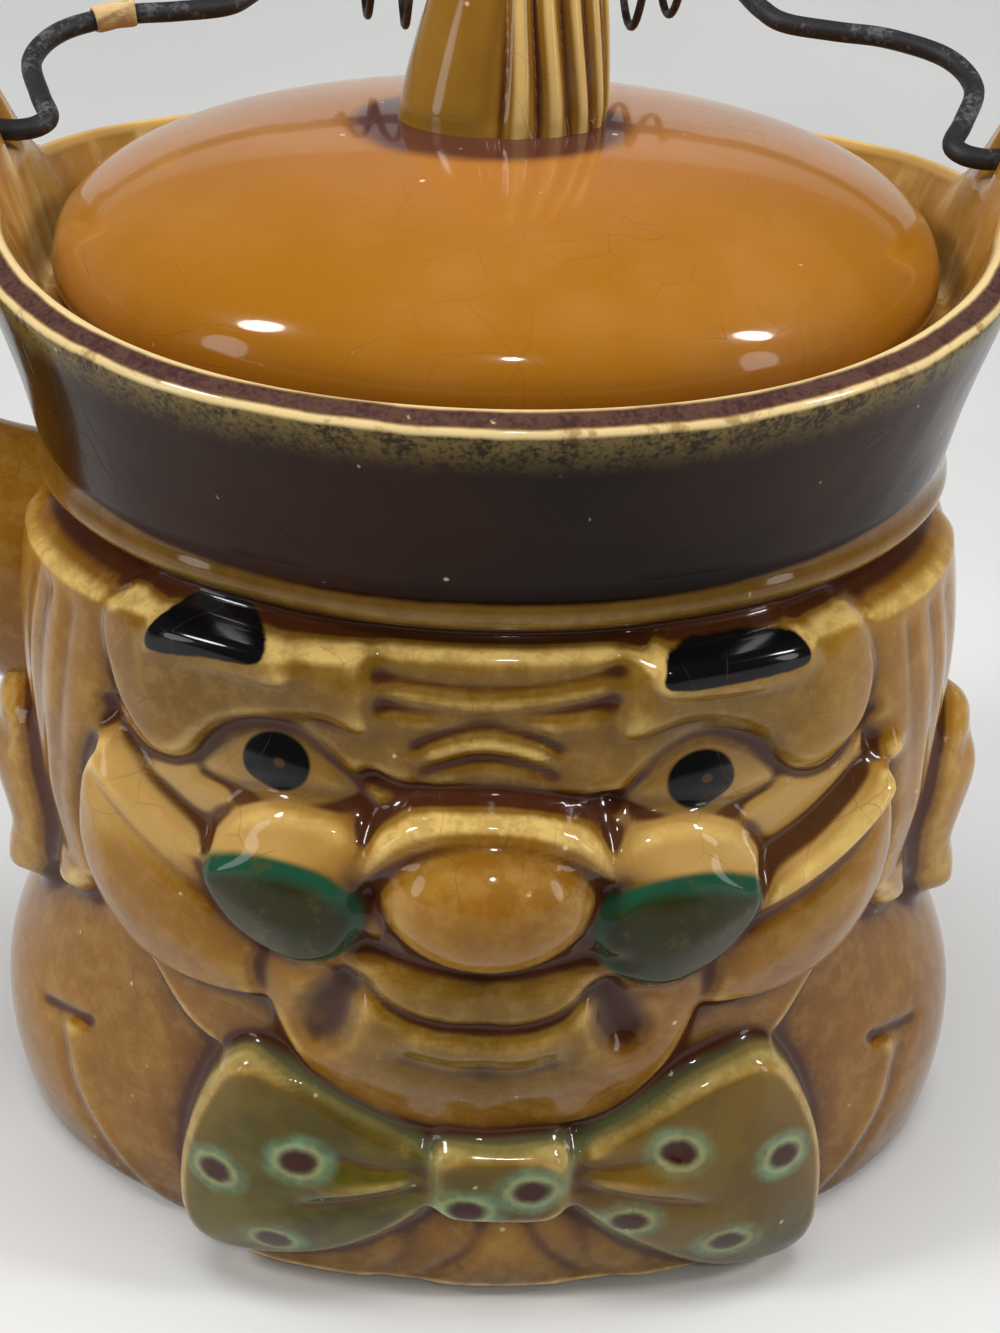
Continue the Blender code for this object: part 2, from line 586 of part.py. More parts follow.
def bail_half():
    """One arm of the bail in its own plane, as distance from the middle and height over the hinge."""
    wire_in = LUG_INSIDE - WIRE_IN_FROM_LUG
    tail = LUG_OUTSIDE + TAIL_OUT_FROM_LUG
    half_grip = GRIP_LENGTH / 2
    rise = BAIL_HEIGHT - BAIL_SHOULDER
    corner = BEND_RADIUS * 0.3
    places = [
        (tail, -TAIL_LENGTH), (tail, -BEND_RADIUS), (tail - corner, -corner), (tail - BEND_RADIUS, 0.0),
        (LUG_INSIDE, 0.0), (wire_in + BEND_RADIUS, 0.0), (wire_in + corner, corner), (wire_in, BEND_RADIUS),
        (wire_in + 0.45 * BAIL_BULGE, 0.5 * BAIL_BULGE_HEIGHT), (wire_in + BAIL_BULGE, BAIL_BULGE_HEIGHT),
        (wire_in + 0.4 * BAIL_BULGE, 0.8 * BAIL_SHOULDER), (0.905 * wire_in, 0.95 * BAIL_SHOULDER),
        (0.78 * wire_in, BAIL_SHOULDER), (half_grip + 13.0, BAIL_SHOULDER + 0.15 * rise),
        (half_grip + 9.5, BAIL_SHOULDER + 0.45 * rise), (half_grip + 6.5, BAIL_SHOULDER + 0.88 * rise),
        (half_grip + 2.5, BAIL_HEIGHT)]
    return places


def bail_frame():
    """The bail's plane turned back about the hinge line, in millimetres."""
    return Matrix.Translation((0, 0, HINGE_HEIGHT)) @ Matrix.Rotation(math.radians(-BAIL_TILT), 4, "X")


def bail_line(steps):
    """The whole bail from one tail to the other, standing upright over the hinge."""
    half = bail_half()
    corners = [(-x, 0.0, h) for x, h in half] + [(x, 0.0, h) for x, h in reversed(half)]
    return curve_points(corners, closed=False, steps=steps)


def build_bail(finish):
    rings = tube_rings(bail_line(2), WIRE_DIAMETER / 2, WIRE_SIDES)
    return place_on_hinge(mesh_object("bail", *loft(rings), finish))


def build_grip(finish):
    """A loose barrel coil of thin wire round the middle of the bail."""
    tight = WIRE_DIAMETER / 2 + GRIP_WIRE / 2 + TOUCH_GAP
    steps = GRIP_TURNS * GRIP_STEPS
    line = []
    for step in range(steps + 1):
        share = step / steps
        turn = 2 * math.pi * GRIP_TURNS * share
        swell = math.sin(math.pi * min(max((share - 0.03) / 0.94, 0.0), 1.0)) ** 0.45
        radius = tight + (GRIP_RADIUS - GRIP_WIRE / 2 - tight) * swell
        line.append((GRIP_LENGTH * (share - 0.5), radius * math.sin(turn), BAIL_HEIGHT + radius * math.cos(turn)))
    rings = tube_rings(line, GRIP_WIRE / 2, GRIP_SIDES)
    return place_on_hinge(mesh_object("grip_coil", *loft(rings), finish))


def build_band(finish):
    """A short wrap of tape on the left arm of the bail."""
    line = bail_line(12)
    place = LUG_INSIDE - BAND_IN_FROM_LUG
    middle = int(np.argmin(np.hypot(line[:, 0] + place, line[:, 2] - BAIL_SHOULDER)))
    first = last = middle
    while line[last][0] - line[first][0] < BAND_LENGTH:
        first -= 1
        last += 1
    steps = line[first:last + 1:4]
    inner = WIRE_DIAMETER / 2 + TOUCH_GAP
    rings = tube_rings(steps, inner + BAND_THICKNESS, 12)
    bore = tube_rings([2 * steps[0] - steps[1], *steps, 2 * steps[-1] - steps[-2]], inner, 12)
    band = mesh_object("tape_band", *loft(rings), finish)
    cutter = mesh_object("tape_band_bore", *loft(bore))
    add_boolean(band, cutter, "DIFFERENCE")
    place_on_hinge(cutter)
    return place_on_hinge(band)


def place_on_hinge(thing):
    """Puts a piece of the bail on the hinge line, leaning back."""
    frame = bail_frame()
    thing.location = frame.to_translation() * MM
    thing.rotation_euler = frame.to_euler()
    return thing


def main():
    clear_scene()
    amber = material("amber_glaze", (0.38, 0.17, 0.035), 0.08)
    lid_glaze = material("lid_glaze", (0.44, 0.20, 0.045), 0.07)
    black_wire = material("coated_wire", (0.025, 0.025, 0.026), 0.45)
    coil_wire = material("coil_wire", (0.018, 0.012, 0.010), 0.4)
    tape = material("paper_tape", (0.50, 0.34, 0.15), 0.8)
    build_pot(amber)
    build_lid(lid_glaze)
    build_bail(black_wire)
    build_grip(coil_wire)
    build_band(tape)


main()
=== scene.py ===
"""Figural teapot: glazed bust with a hat brim, domed lid, wire bail, grip coil and tape band.

Shapes are worked out as whole arrays in millimetres and become meshes in metres.
The bust is carved on a sheet: across runs along the skin from the middle of the front,
positive towards +X, and up is the height over the foot.
"""
import math

import bpy
import numpy as np
from bpy.props import FloatProperty, FloatVectorProperty, IntProperty, PointerProperty
from mathutils import Matrix, Vector


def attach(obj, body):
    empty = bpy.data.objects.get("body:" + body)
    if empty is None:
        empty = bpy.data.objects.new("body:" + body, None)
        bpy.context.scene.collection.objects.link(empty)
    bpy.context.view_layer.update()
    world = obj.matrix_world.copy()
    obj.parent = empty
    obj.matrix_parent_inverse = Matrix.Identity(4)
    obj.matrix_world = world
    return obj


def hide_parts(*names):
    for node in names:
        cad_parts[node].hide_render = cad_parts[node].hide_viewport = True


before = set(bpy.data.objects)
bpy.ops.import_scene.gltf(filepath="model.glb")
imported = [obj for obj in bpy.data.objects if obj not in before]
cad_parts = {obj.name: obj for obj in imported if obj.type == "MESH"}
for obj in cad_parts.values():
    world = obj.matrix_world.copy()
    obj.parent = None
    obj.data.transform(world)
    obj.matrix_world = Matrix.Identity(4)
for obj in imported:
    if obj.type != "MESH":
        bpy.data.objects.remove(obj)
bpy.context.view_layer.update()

bl_info = {
    "name": "Figural teapot",
    "version": (1, 0, 0),
    "blender": (4, 5, 0),
    "location": "View3D > Sidebar > Teapot",
    "description": "Glazed figural teapot with a lid and a wire bail",
    "category": "Add Mesh",
}

MM = 0.001
TURN = 2 * math.pi
ACROSS_PER_RADIAN = 66.0  # millimetres along the skin for one radian round the pot
FAR = 8.0                 # distances from an outline are worked out up to this many millimetres
FOOT_ROUND = 2.7          # height of the rounding under the foot
BRIM_START = 7.0          # the brim starts this far over the crease
LID_GAP = 0.3             # gap between the lid and its seat
HOOK_INSIDE = 6.5         # the bail rises this far inside the lugs
TAIL_OUTSIDE = 5.4        # the bail's tails hang this far outside the lugs
TAPE_INSIDE = 11.1        # the tape sits this far inside the left lug
SPOUT_ROOT = 98.0         # height of the spout's root


def tint(red, green, blue):
    """A display colour from 0 to 255 as linear light with full alpha."""
    linear = [(part / 255 / 12.92) if part < 11 else ((part / 255 + 0.055) / 1.055) ** 2.4
              for part in (red, green, blue)]
    return (*linear, 1.0)


def size(name, text, value):
    """A length in metres that a user may change."""
    return FloatProperty(name=name, description=text, default=value, min=0.0, unit="LENGTH", precision=4)


def colour(name, text, *value):
    """A colour that a user may change, given from 0 to 255."""
    return FloatVectorProperty(name=name, description=text, default=tint(*value), size=4, subtype="COLOR",
                               min=0.0, max=1.0)


# ---- sizes and colours that a user changes ----

class PotSettings(bpy.types.PropertyGroup):
    foot_half_width: size("Foot half width", "Half of the foot across", 0.081)
    foot_half_depth: size("Foot half depth", "Half of the foot from front to back", 0.056)
    shoulder_half_width: size("Shoulder half width", "Half of the coat at its widest", 0.0825)
    shoulder_half_depth: size("Shoulder half depth", "Half of the coat from front to back", 0.0595)
    head_half_width: size("Head half width", "Half of the head across", 0.0695)
    head_half_depth: size("Head half depth", "Half of the head from front to back", 0.0615)
    crease_height: size("Crease height", "Height of the crease under the hat", 0.116)
    crease_half_width: size("Crease half width", "Half of the crease across", 0.0655)
    crease_half_depth: size("Crease half depth", "Half of the crease from front to back", 0.059)
    brim_height: size("Brim height", "Height of the brim over the crease, in front", 0.0343)
    brim_back_rise: size("Brim back rise", "How much higher the brim is behind", 0.0042)
    brim_side_rise: size("Brim side rise", "How much higher the brim is at each side", 0.005)
    rim_half_width: size("Rim half width", "Half of the rim across", 0.074)
    rim_half_depth: size("Rim half depth", "Half of the rim from front to back", 0.072)
    wall: size("Wall", "Thickness of the wall at the rim", 0.005)
    seat_radius: size("Seat radius", "Radius of the seat for the lid", 0.0655)
    seat_depth: size("Seat depth", "How far the seat lies under the rim", 0.0063)
    opening_radius: size("Opening radius", "Radius of the opening under the lid", 0.054)
    throat_depth: size("Throat depth", "Depth of the straight throat under the seat", 0.010)
    lug_rise: size("Lug rise", "Height of each lug over the rim", 0.015)
    lug_half_span: size("Lug half span", "Half of a lug's length along the rim", 0.017)
    lug_hole_below_tip: size("Hole below tip", "Distance from a lug's tip to its hole", 0.009)
    spout_reach: size("Spout reach", "How far the spout stands out from the head", 0.0495)
    spout_over_rim: size("Spout over rim", "Height of the spout's mouth over the rim", 0.0017)
    amber: colour("Amber", "Glaze on the bust", 154, 106, 24)
    honey: colour("Honey", "Thin glaze on raised edges", 216, 182, 106)
    # treacle also carries the painted shade of the wide hollows of the carving
    treacle: colour("Treacle", "Glaze pooled in grooves", 62, 26, 12)
    hat: colour("Hat band", "Dark glaze on the brim", 20, 9, 5)


class LidSettings(bpy.types.PropertyGroup):
    radius: size("Lid radius", "Radius of the lid at its widest", 0.0635)
    dome_rise: size("Dome rise", "Height of the dome over the widest ring", 0.0193)
    edge_drop: size("Edge drop", "Depth of the lid's edge under the widest ring", 0.004)
    thickness: size("Thickness", "Thickness of the dome", 0.0045)
    skirt_depth: size("Skirt depth", "Depth of the locating skirt", 0.008)
    skirt_clearance: size("Skirt clearance", "Gap round the skirt", 0.0012)
    knob_half_width: size("Knob half width", "Half of the knob's foot across", 0.0146)
    knob_half_depth: size("Knob half depth", "Half of the knob's foot from front to back", 0.0132)
    knob_height: size("Knob height", "Height of the knob", 0.0285)
    knob_lean: size("Knob lean", "How far the knob's top leans to the right", 0.0035)
    glaze: colour("Lid glaze", "Glaze on the top of the lid", 162, 104, 46)


class BailSettings(bpy.types.PropertyGroup):
    wire: size("Wire", "Diameter of the bail's wire", 0.003)
    tilt: FloatProperty(name="Tilt", description="How far the bail leans back", default=math.radians(70),
                        unit="ROTATION")
    height: size("Height", "Height of the grip over the hinge", 0.04596)
    crown: size("Crown", "Rise of the grip over the shoulders", 0.0135)
    grip_length: size("Grip length", "Length of the coil", 0.060)
    grip_radius: size("Grip radius", "Radius of the coil at its middle", 0.0099)
    grip_wire: size("Grip wire", "Diameter of the coil's wire", 0.0013)
    grip_turns: IntProperty(name="Turns", description="Turns of the coil", default=10, min=3)
    band_length: size("Tape length", "Length of the tape along the wire", 0.0065)
    coating: colour("Coating", "Coating on the bail's wire", 36, 35, 37)
    tape: colour("Tape", "Paper tape on the wire", 196, 164, 112)


class TeapotSettings(bpy.types.PropertyGroup):
    pot: PointerProperty(type=PotSettings)
    lid: PointerProperty(type=LidSettings)
    bail: PointerProperty(type=BailSettings)


def millimetres(group):
    """Every length of a group in millimetres, by name."""
    values = {}
    for name, item in group.bl_rna.properties.items():
        if item.type == "FLOAT" and item.unit == "LENGTH":
            values[name] = getattr(group, name) / MM
    return values


# ---- meshes ----

def sheet_mesh(name, points, first_pole=None, last_pole=None, wrap_rows=False):
    """A closed skin over a grid of points (rows, columns, 3) whose columns go round.

    Each cell is a square of four neighbours. The ends close on pole points with triangles,
    or the last row joins the first where wrap_rows is set.
    """
    rows, columns = points.shape[:2]
    index = np.arange(rows * columns).reshape(rows, columns)
    low = index if wrap_rows else index[:-1]
    high = np.roll(index, -1, axis=0) if wrap_rows else index[1:]
    quads = np.stack([low, np.roll(low, -1, axis=1), np.roll(high, -1, axis=1), high], -1).reshape(-1, 4)
    spots = [points.reshape(-1, 3)]
    fans = []
    for pole, ring, flip in ((first_pole, index[0], True), (last_pole, index[-1], False)):
        if pole is not None:
            tip = np.full(columns, sum(len(part) for part in spots))
            spots.append(np.asarray(pole, float).reshape(1, 3))
            after = np.roll(ring, -1)
            fans.append(np.stack([after, ring, tip] if flip else [ring, after, tip], -1))
    corners = np.concatenate([quads.ravel(), *[fan.ravel() for fan in fans]]).astype(np.int32)
    counts = np.concatenate([np.full(len(quads), 4), *[np.full(len(fan), 3) for fan in fans]])
    starts = np.concatenate([[0], np.cumsum(counts)[:-1]]).astype(np.int32)
    spots = np.concatenate(spots) * MM
    mesh = bpy.data.meshes.new(name)
    mesh.vertices.add(len(spots))
    mesh.vertices.foreach_set("co", spots.astype(np.float32).ravel())
    mesh.loops.add(len(corners))
    mesh.loops.foreach_set("vertex_index", corners)
    mesh.polygons.add(len(counts))
    mesh.polygons.foreach_set("loop_start", starts)
    mesh.update(calc_edges=True)
    mesh.validate()
    mesh.shade_smooth()
    return mesh


def write_attribute(mesh, name, values, fill=0.0):
    """One number for each point of a mesh; poles and later points take the fill value."""
    padded = np.full(len(mesh.vertices), fill, np.float32)
    flat = np.asarray(values, np.float32).ravel()
    padded[:len(flat)] = flat
    mesh.attributes.new(name, "FLOAT", "POINT").data.foreach_set("value", padded)


def show(name, mesh, finish):
    """A finished object at the origin, in place of one of the same name."""
    old = bpy.data.objects.get(name)
    if old:
        bpy.data.objects.remove(old, do_unlink=True)
    made = bpy.data.objects.new(name, mesh)
    bpy.context.scene.collection.objects.link(made)
    mesh.materials.append(finish)
    return made


def joined(name, meshes):
    """One mesh from several, with all their attributes."""
    parts = [bpy.data.objects.new(name, mesh) for mesh in meshes]
    for part in parts:
        bpy.context.scene.collection.objects.link(part)
    with bpy.context.temp_override(active_object=parts[0], object=parts[0], selected_objects=parts,
                                   selected_editable_objects=parts):
        bpy.ops.object.join()
    whole = parts[0].data
    bpy.data.objects.remove(parts[0], do_unlink=True)
    return whole


# ---- curves and carving ----

def smooth_step(value, low, high):
    """0 below low, 1 above high, 3 s squared - 2 s cubed between."""
    part = np.clip((value - low) / (high - low), 0.0, 1.0)
    return part * part * (3.0 - 2.0 * part)


def smooth_through(places, values, at):
    """A cubic line through the values with slopes from their neighbours, flat beyond its ends."""
    places = np.asarray(places, float)
    values = np.asarray(values, float)
    slopes = np.gradient(values, places)
    at = np.clip(at, places[0], places[-1])
    cell = np.clip(np.searchsorted(places, at, side="right") - 1, 0, len(places) - 2)
    width = places[cell + 1] - places[cell]
    part = (at - places[cell]) / width
    bend = part * part * (3.0 - 2.0 * part)
    start = part * (1.0 - part) ** 2 * width * slopes[cell]
    end = part * part * (part - 1.0) * width * slopes[cell + 1]
    return values[cell] + bend * (values[cell + 1] - values[cell]) + start + end


def curve_through(corners, closed=False, steps=6):
    """Points on the Catmull-Rom curve through a few corners, as one array."""
    corners = np.asarray(corners, float)
    if closed:
        padded = np.concatenate([corners[-1:], corners, corners[:2]])
    else:
        padded = np.concatenate([[2 * corners[0] - corners[1]], corners, [2 * corners[-1] - corners[-2]]])
    a, b, c, d = (padded[shift:len(padded) - 3 + shift, None] for shift in range(4))
    t = (np.arange(steps) / steps)[None, :, None]
    made = 0.5 * (2 * b + (c - a) * t + (2 * a - 5 * b + 4 * c - d) * t ** 2 + (3 * b - a - 3 * c + d) * t ** 3)
    made = made.reshape(-1, corners.shape[1])
    return made if closed else np.concatenate([made, corners[-1:]])


def line_distance(x, y, line, closed):
    """Shortest distance from places to a line of points: each stretch clamps the foot of the normal."""
    starts = line if closed else line[:-1]
    ends = np.roll(line, -1, axis=0) if closed else line[1:]
    best = np.full(x.shape, 1e9)
    for start, end in zip(starts, ends):
        along = end - start
        part = np.clip(((x - start[0]) * along[0] + (y - start[1]) * along[1]) / max(along @ along, 1e-9), 0, 1)
        best = np.minimum(best, (x - start[0] - part * along[0]) ** 2 + (y - start[1] - part * along[1]) ** 2)
    return np.sqrt(best)


def depth_inside(x, y, outline):
    """Distance inside a closed outline, negative outside and never under -FAR."""
    line = curve_through(outline, closed=True)
    depth = np.full(x.shape, -FAR)
    low, high = line.min(axis=0) - FAR, line.max(axis=0) + FAR
    near = (x > low[0]) & (x < high[0]) & (y > low[1]) & (y < high[1])
    if not near.any():
        return depth
    px, py = x[near], y[near]
    inside = np.zeros(px.shape, bool)
    for start, end in zip(line, np.roll(line, -1, axis=0)):
        if start[1] != end[1]:
            crosses = (start[1] > py) != (end[1] > py)
            inside ^= crosses & (px < start[0] + (py - start[1]) * (end[0] - start[0]) / (end[1] - start[1]))
    gap = line_distance(px, py, line, closed=True)
    depth[near] = np.where(inside, gap, -np.minimum(gap, FAR))
    return depth


class Carving:
    """Height of the carving over the pot's plain oval, place by place, in millimetres."""

    def __init__(self, across, up):
        self.across, self.up = across, up
        self.side = np.abs(across - 1.5)
        self.height = np.zeros(across.shape)

    def lift(self, outline, level, crown=0.0, edge=1.6, reach=9.0, both=False):
        """Inside an outline the height becomes level plus crown times the root of the depth share."""
        depth = depth_inside(self.side if both else self.across, self.up, outline)
        share = smooth_step(depth, -edge / 2, edge / 2)
        dome = crown * np.sqrt(np.clip(depth / reach, 0.0, 1.0))
        self.height = self.height * (1 - share) + (level + dome) * share

    def dome(self, centre, radii, rise, base=0.0):
        """Half of an egg that stands out of the skin wherever it is the higher."""
        share = ((self.across - centre[0]) / radii[0]) ** 2 + ((self.up - centre[1]) / radii[1]) ** 2
        boss = base + (rise - base) * np.sqrt(np.clip(1 - share, 0, 1))
        self.height = np.where(share < 1, np.maximum(self.height, boss), self.height)

    def stroke(self, corners, height, width, both=False):
        """Adds height times exp(-(distance / width) squared) along a line; below zero it is a groove."""
        x = self.side if both else self.across
        line = curve_through(corners)
        low, high = line.min(axis=0) - 4 * width, line.max(axis=0) + 4 * width
        near = (x > low[0]) & (x < high[0]) & (self.up > low[1]) & (self.up < high[1])
        gap = line_distance(x[near], self.up[near], line, closed=False)
        self.height[near] += height * np.exp(-(gap / width) ** 2)


TIE_LEFT = [(-4, 23), (-3.5, 33.5), (-16, 42), (-24, 46), (-30, 46.2), (-33.6, 38), (-35.6, 23), (-35, 10),
            (-29, 6), (-15, 11)]
TIE_RIGHT = [(11.5, 23), (11.5, 33.5), (22, 41.5), (32, 46), (39.6, 45.6), (43.4, 35), (44.8, 19), (44.5, 6),
             (38, 2), (27, 6)]
TIE_KNOT = [(-3.6, 36), (3.5, 36.5), (11, 36), (11.4, 29), (10.5, 22.5), (3.5, 21.8), (-3.2, 22.8), (-4.2, 29)]
TIE_DOTS = [(-29, 26), (-19, 32), (-22, 14), (24, 34), (37, 29), (18, 21), (30, 14), (0, 26), (7, 30)]
LENS_LEFT = [(-34, 79.5), (-29.6, 83.4), (-23.5, 84.8), (-17, 83.4), (-13.4, 77.5), (-15.6, 71), (-22, 68),
             (-30, 71.5)]
LENS_RIGHT = [(36, 78), (31, 82.4), (24.5, 84), (17.5, 82), (14.6, 76), (17, 68.8), (24.5, 65.6), (32, 69.5)]
HOOD_LEFT = [(-34, 81), (-31, 87.5), (-24, 91.8), (-15.5, 90.5), (-10.6, 84.5), (-13, 80), (-22, 79)]
HOOD_RIGHT = [(14, 83), (17, 89), (25, 91.4), (32.5, 88), (37, 79.5), (25, 78)]
BRIDGE = [(-13.6, 82.5), (-12.4, 89), (-7, 93.6), (1, 94.9), (9, 93.6), (15, 89.4), (17, 82.5), (11, 86.4),
          (1, 88.4), (-7, 86.8)]
BROW_LEFT = [(-43.5, 110.6), (-42, 115), (-37.5, 117.8), (-31, 117.4), (-25, 114.8), (-22, 111.6), (-24, 109.6),
             (-33, 109.8), (-42, 108.8)]
BROW_RIGHT = [(20.4, 113.6), (22.4, 117.4), (29, 118.6), (37, 118.2), (42, 114.6), (42.4, 110.4), (38, 109),
              (29, 109.2), (21.4, 110.2)]
BLACK_LEFT = [(-42.6, 111), (-41.4, 114.6), (-37.6, 117.2), (-32, 117.2), (-27.6, 115.6), (-25.4, 113.8),
              (-27, 112.4), (-33, 111.8), (-40, 110.2)]
BLACK_RIGHT = [(21.6, 113.6), (23.4, 115.6), (31, 116), (39, 115.4), (41, 113.6), (40.4, 111.4), (34, 111.2),
               (22.6, 111.4)]
EYE_LEFT = [(-37, 92), (-32, 98), (-26, 100.8), (-19.5, 98.6), (-14.5, 93), (-24, 90.6), (-32, 90.4)]
EYE_RIGHT = [(18.5, 93), (23.5, 98.6), (29, 100.2), (34.5, 97.6), (40, 92.6), (35, 89.8), (27, 89.8)]
PUPIL_LEFT, PUPIL_RIGHT = (-25.3, 96.4), (28.0, 95.2)


def carve_coat(skin):
    """Coat with lapels, notches and the pale collar under the chin."""
    skin.stroke([(59, 32.6), (64, 31.6), (71, 29.6)], -1.3, 1.1, both=True)
    skin.stroke([(62, 29.6), (60, 25), (58, 19), (51, 8), (44, 1)], 0.5, 1.9, both=True)
    skin.stroke([(66, 28.6), (63.4, 24), (61.4, 18), (54, 7), (47, 0)], -0.6, 1.6, both=True)
    skin.lift([(-8, 38), (9, 36), (12, 20), (9, 0), (-8, -2)], 2.0, 0.0, 3.0, both=True)


def carve_head(skin):
    """The head over the coat, its strands of hair and its ears."""
    jaw = smooth_through([0, 9, 23, 41, 50, 58, 68, 79, 92, 106, 125, 210],
                         [31, 32, 39, 44.5, 51, 57, 58, 53, 45, 47, 51, 51], skin.side)
    skin.height = skin.height + 2.8 * smooth_step(skin.up - jaw, -0.9, 1.2)
    skin.stroke([(52, 119), (53.5, 98), (61, 78), (64, 60), (70, 52)], -1.2, 1.1, both=True)
    skin.lift([(53, 128), (56, 98), (64, 78), (67, 60), (76, 51), (86, 56), (84, 74), (86, 95), (96, 128)],
              3.6, 1.4, 3.0, 14.0, both=True)
    for shift, deep in ((4.0, -0.6), (11.0, -1.0), (17.0, -0.7)):
        skin.stroke([(58.6 + shift, 108), (60 + shift, 96), (66.5 + shift * 0.8, 76), (69 + shift * 0.6, 60)],
                    deep, 1.5, both=True)
    skin.lift([(83, 70), (88, 80), (98, 82), (106, 72), (104, 57), (95, 46), (87, 46), (82.5, 57)],
              4.0, 8.6, 4.4, 12.0, both=True)
    skin.stroke([(90, 73), (95, 74), (98, 66), (94, 56)], -1.6, 3.0, both=True)
    skin.stroke([(82, 76), (80, 62), (84, 48)], -1.3, 1.6, both=True)
    back = smooth_step(skin.side, 108, 118) * smooth_step(skin.up, 50, 58)
    strands = np.abs(np.cos(skin.across * math.pi / 14.8 + 0.35 * np.sin(skin.up / 11.0)))
    skin.height = skin.height + back * (0.4 + 2.6 * strands ** 0.7)


def carve_forehead(skin):
    """Long wrinkles between the brows and short arches over the nose."""
    skin.stroke([(-23, 112.6), (-12, 111), (0, 110.2), (11, 111), (20, 113)], -0.85, 0.9)
    skin.stroke([(-22, 108.6), (-11, 107.2), (0, 106.4), (11, 107.4), (20, 109.2)], -0.95, 0.9)
    skin.stroke([(-20, 110.6), (0, 108.4), (19, 111)], 0.5, 1.3)
    skin.stroke([(-12, 105.6), (0, 106.2), (14, 105.4)], 0.5, 1.4)
    skin.stroke([(-8, 101.6), (-4, 104), (1, 105), (6, 104), (10, 101.6)], -1.1, 0.8)
    skin.stroke([(-7, 97.6), (-3, 100), (1, 100.8), (6, 99.8), (9.5, 97.6)], -1.1, 0.8)
    skin.stroke([(-5, 101), (1, 102.8), (7, 101)], 0.8, 1.1)
    skin.stroke([(-13.5, 96.4), (-9, 95.2), (0, 94.8), (9, 94.2), (16.5, 93)], -1.7, 1.0)
    skin.stroke([(-13.5, 95.8), (-12.5, 95.4)], -1.6, 1.4)
    skin.stroke([(15.5, 93.4), (16.8, 93)], -1.6, 1.4)


def carve_eyes(skin):
    """Swollen lids, brow blocks and almond eyes."""
    skin.lift([(-13, 104), (-20, 104.6), (-31, 101.4), (-38, 94), (-44, 93.4), (-51, 101), (-54, 111),
               (-47, 120), (-30, 122), (-16, 118)], 3.8, 3.0, 3.2, 10.0)
    skin.lift([(17, 104), (27, 104.8), (36, 101), (43, 93.6), (52, 96), (56, 105), (52, 116), (41, 121),
               (22, 120)], 3.8, 3.0, 3.2, 10.0)
    skin.lift(BROW_LEFT, 7.2, 0.8, 1.8, 4.0)
    skin.lift(BROW_RIGHT, 7.2, 0.8, 1.8, 4.0)
    for outline in (EYE_LEFT, EYE_RIGHT):
        skin.lift(outline, 1.2, 2.0, 1.8, 5.0)
    upper = [(-13, 92), (-19, 99.4), (-26, 102), (-33, 99.4), (-38.5, 92.6), (-46, 91), (-54, 96)]
    skin.stroke(upper, -1.2, 0.9)
    skin.stroke([(16.5, 92.4), (22.6, 99.6), (29, 101.6), (35.5, 98.6), (41.5, 92.4), (49, 91), (57, 97)],
                -1.2, 0.9)
    skin.stroke([(-15, 92.4), (-26, 89.4), (-37, 91)], -0.8, 0.9)
    skin.stroke([(19, 92), (30, 88.8), (40, 91)], -0.8, 0.9)


def carve_mouth(skin):
    """Cheeks, muzzle, smiling lips and chin."""
    skin.lift([(26, 60), (33, 74), (44, 81), (56, 88), (61, 78), (61, 66), (54, 57.5), (40, 55.5)],
              4.6, 3.8, 2.6, 10.0, both=True)
    skin.lift([(-8, 36.5), (8, 36.8), (17, 40), (26, 50), (30, 62), (26, 69), (12, 75), (-8, 76)],
              4.2, 4.0, 2.6, 14.0, both=True)
    skin.stroke([(-13.4, 66), (-11, 63), (-6, 60.8), (2, 59.8), (8, 60.6), (12.4, 62.8), (14.6, 65.6)], -1.8, 0.8)
    skin.stroke([(-6, 65.4), (1, 64), (8, 65.4)], 0.6, 2.6)
    skin.stroke([(-6, 57.6), (-2, 56.8), (2, 56.4), (6, 56.8), (9, 57.8)], 1.2, 2.2)
    skin.stroke([(-8, 52.8), (-4, 51.4), (2, 51), (7, 51.4), (10.4, 52.8)], -1.0, 2.2)
    skin.lift([(-15.4, 67), (-14.6, 62), (-16.6, 55), (-20.6, 51.6), (-23.4, 55), (-20, 63)], 4.4, 0.0, 4.6)
    skin.lift([(16.4, 66.6), (15.2, 62), (16.6, 56.4), (20, 54), (22.4, 57.4), (20, 63.4)], 4.5, 0.0, 4.4)
    skin.stroke([(-16.6, 66), (-14, 63.6)], -1.0, 1.4)
    skin.stroke([(16.8, 66), (15, 64)], -1.0, 1.4)
    skin.stroke([(0.6, 70), (1, 65)], -0.6, 2.2)


def carve_nose(skin):
    """Round nose, and spectacles whose arms run up to the temples."""
    for arm in ([(-31, 77), (-42, 82.4), (-53.5, 89.6)], [(35, 75.6), (48, 81), (60, 89.4)]):
        skin.stroke(arm, 2.6, 2.3)
        skin.stroke([(x, z - 4.4) for x, z in arm], -0.7, 1.6)
        skin.stroke([(x, z + 4.0) for x, z in arm], -0.5, 1.4)
    for hood in (HOOD_LEFT, HOOD_RIGHT):
        skin.lift(hood, 4.2, 4.2, 3.0, 8.0)
    skin.lift(BRIDGE, 6.4, 1.6, 2.0, 3.0)
    for outline in (LENS_LEFT, LENS_RIGHT):
        skin.lift(outline, 7.4, 3.6, 1.9, 8.0)
        rim = np.concatenate([outline, outline[:1]])
        skin.stroke(rim, 0.7, 1.1)
    skin.dome((1.6, 80.6), (14.4, 12.6), 14.6)
    skin.dome((-12.2, 75.8), (3.6, 4.2), 6.8, 3.0)
    skin.dome((15.4, 75.4), (3.6, 4.2), 6.8, 3.0)
    skin.stroke([(-14, 71.6), (-7, 69.6), (2, 68.8), (10, 69.6), (17, 71.4)], -1.3, 1.3)


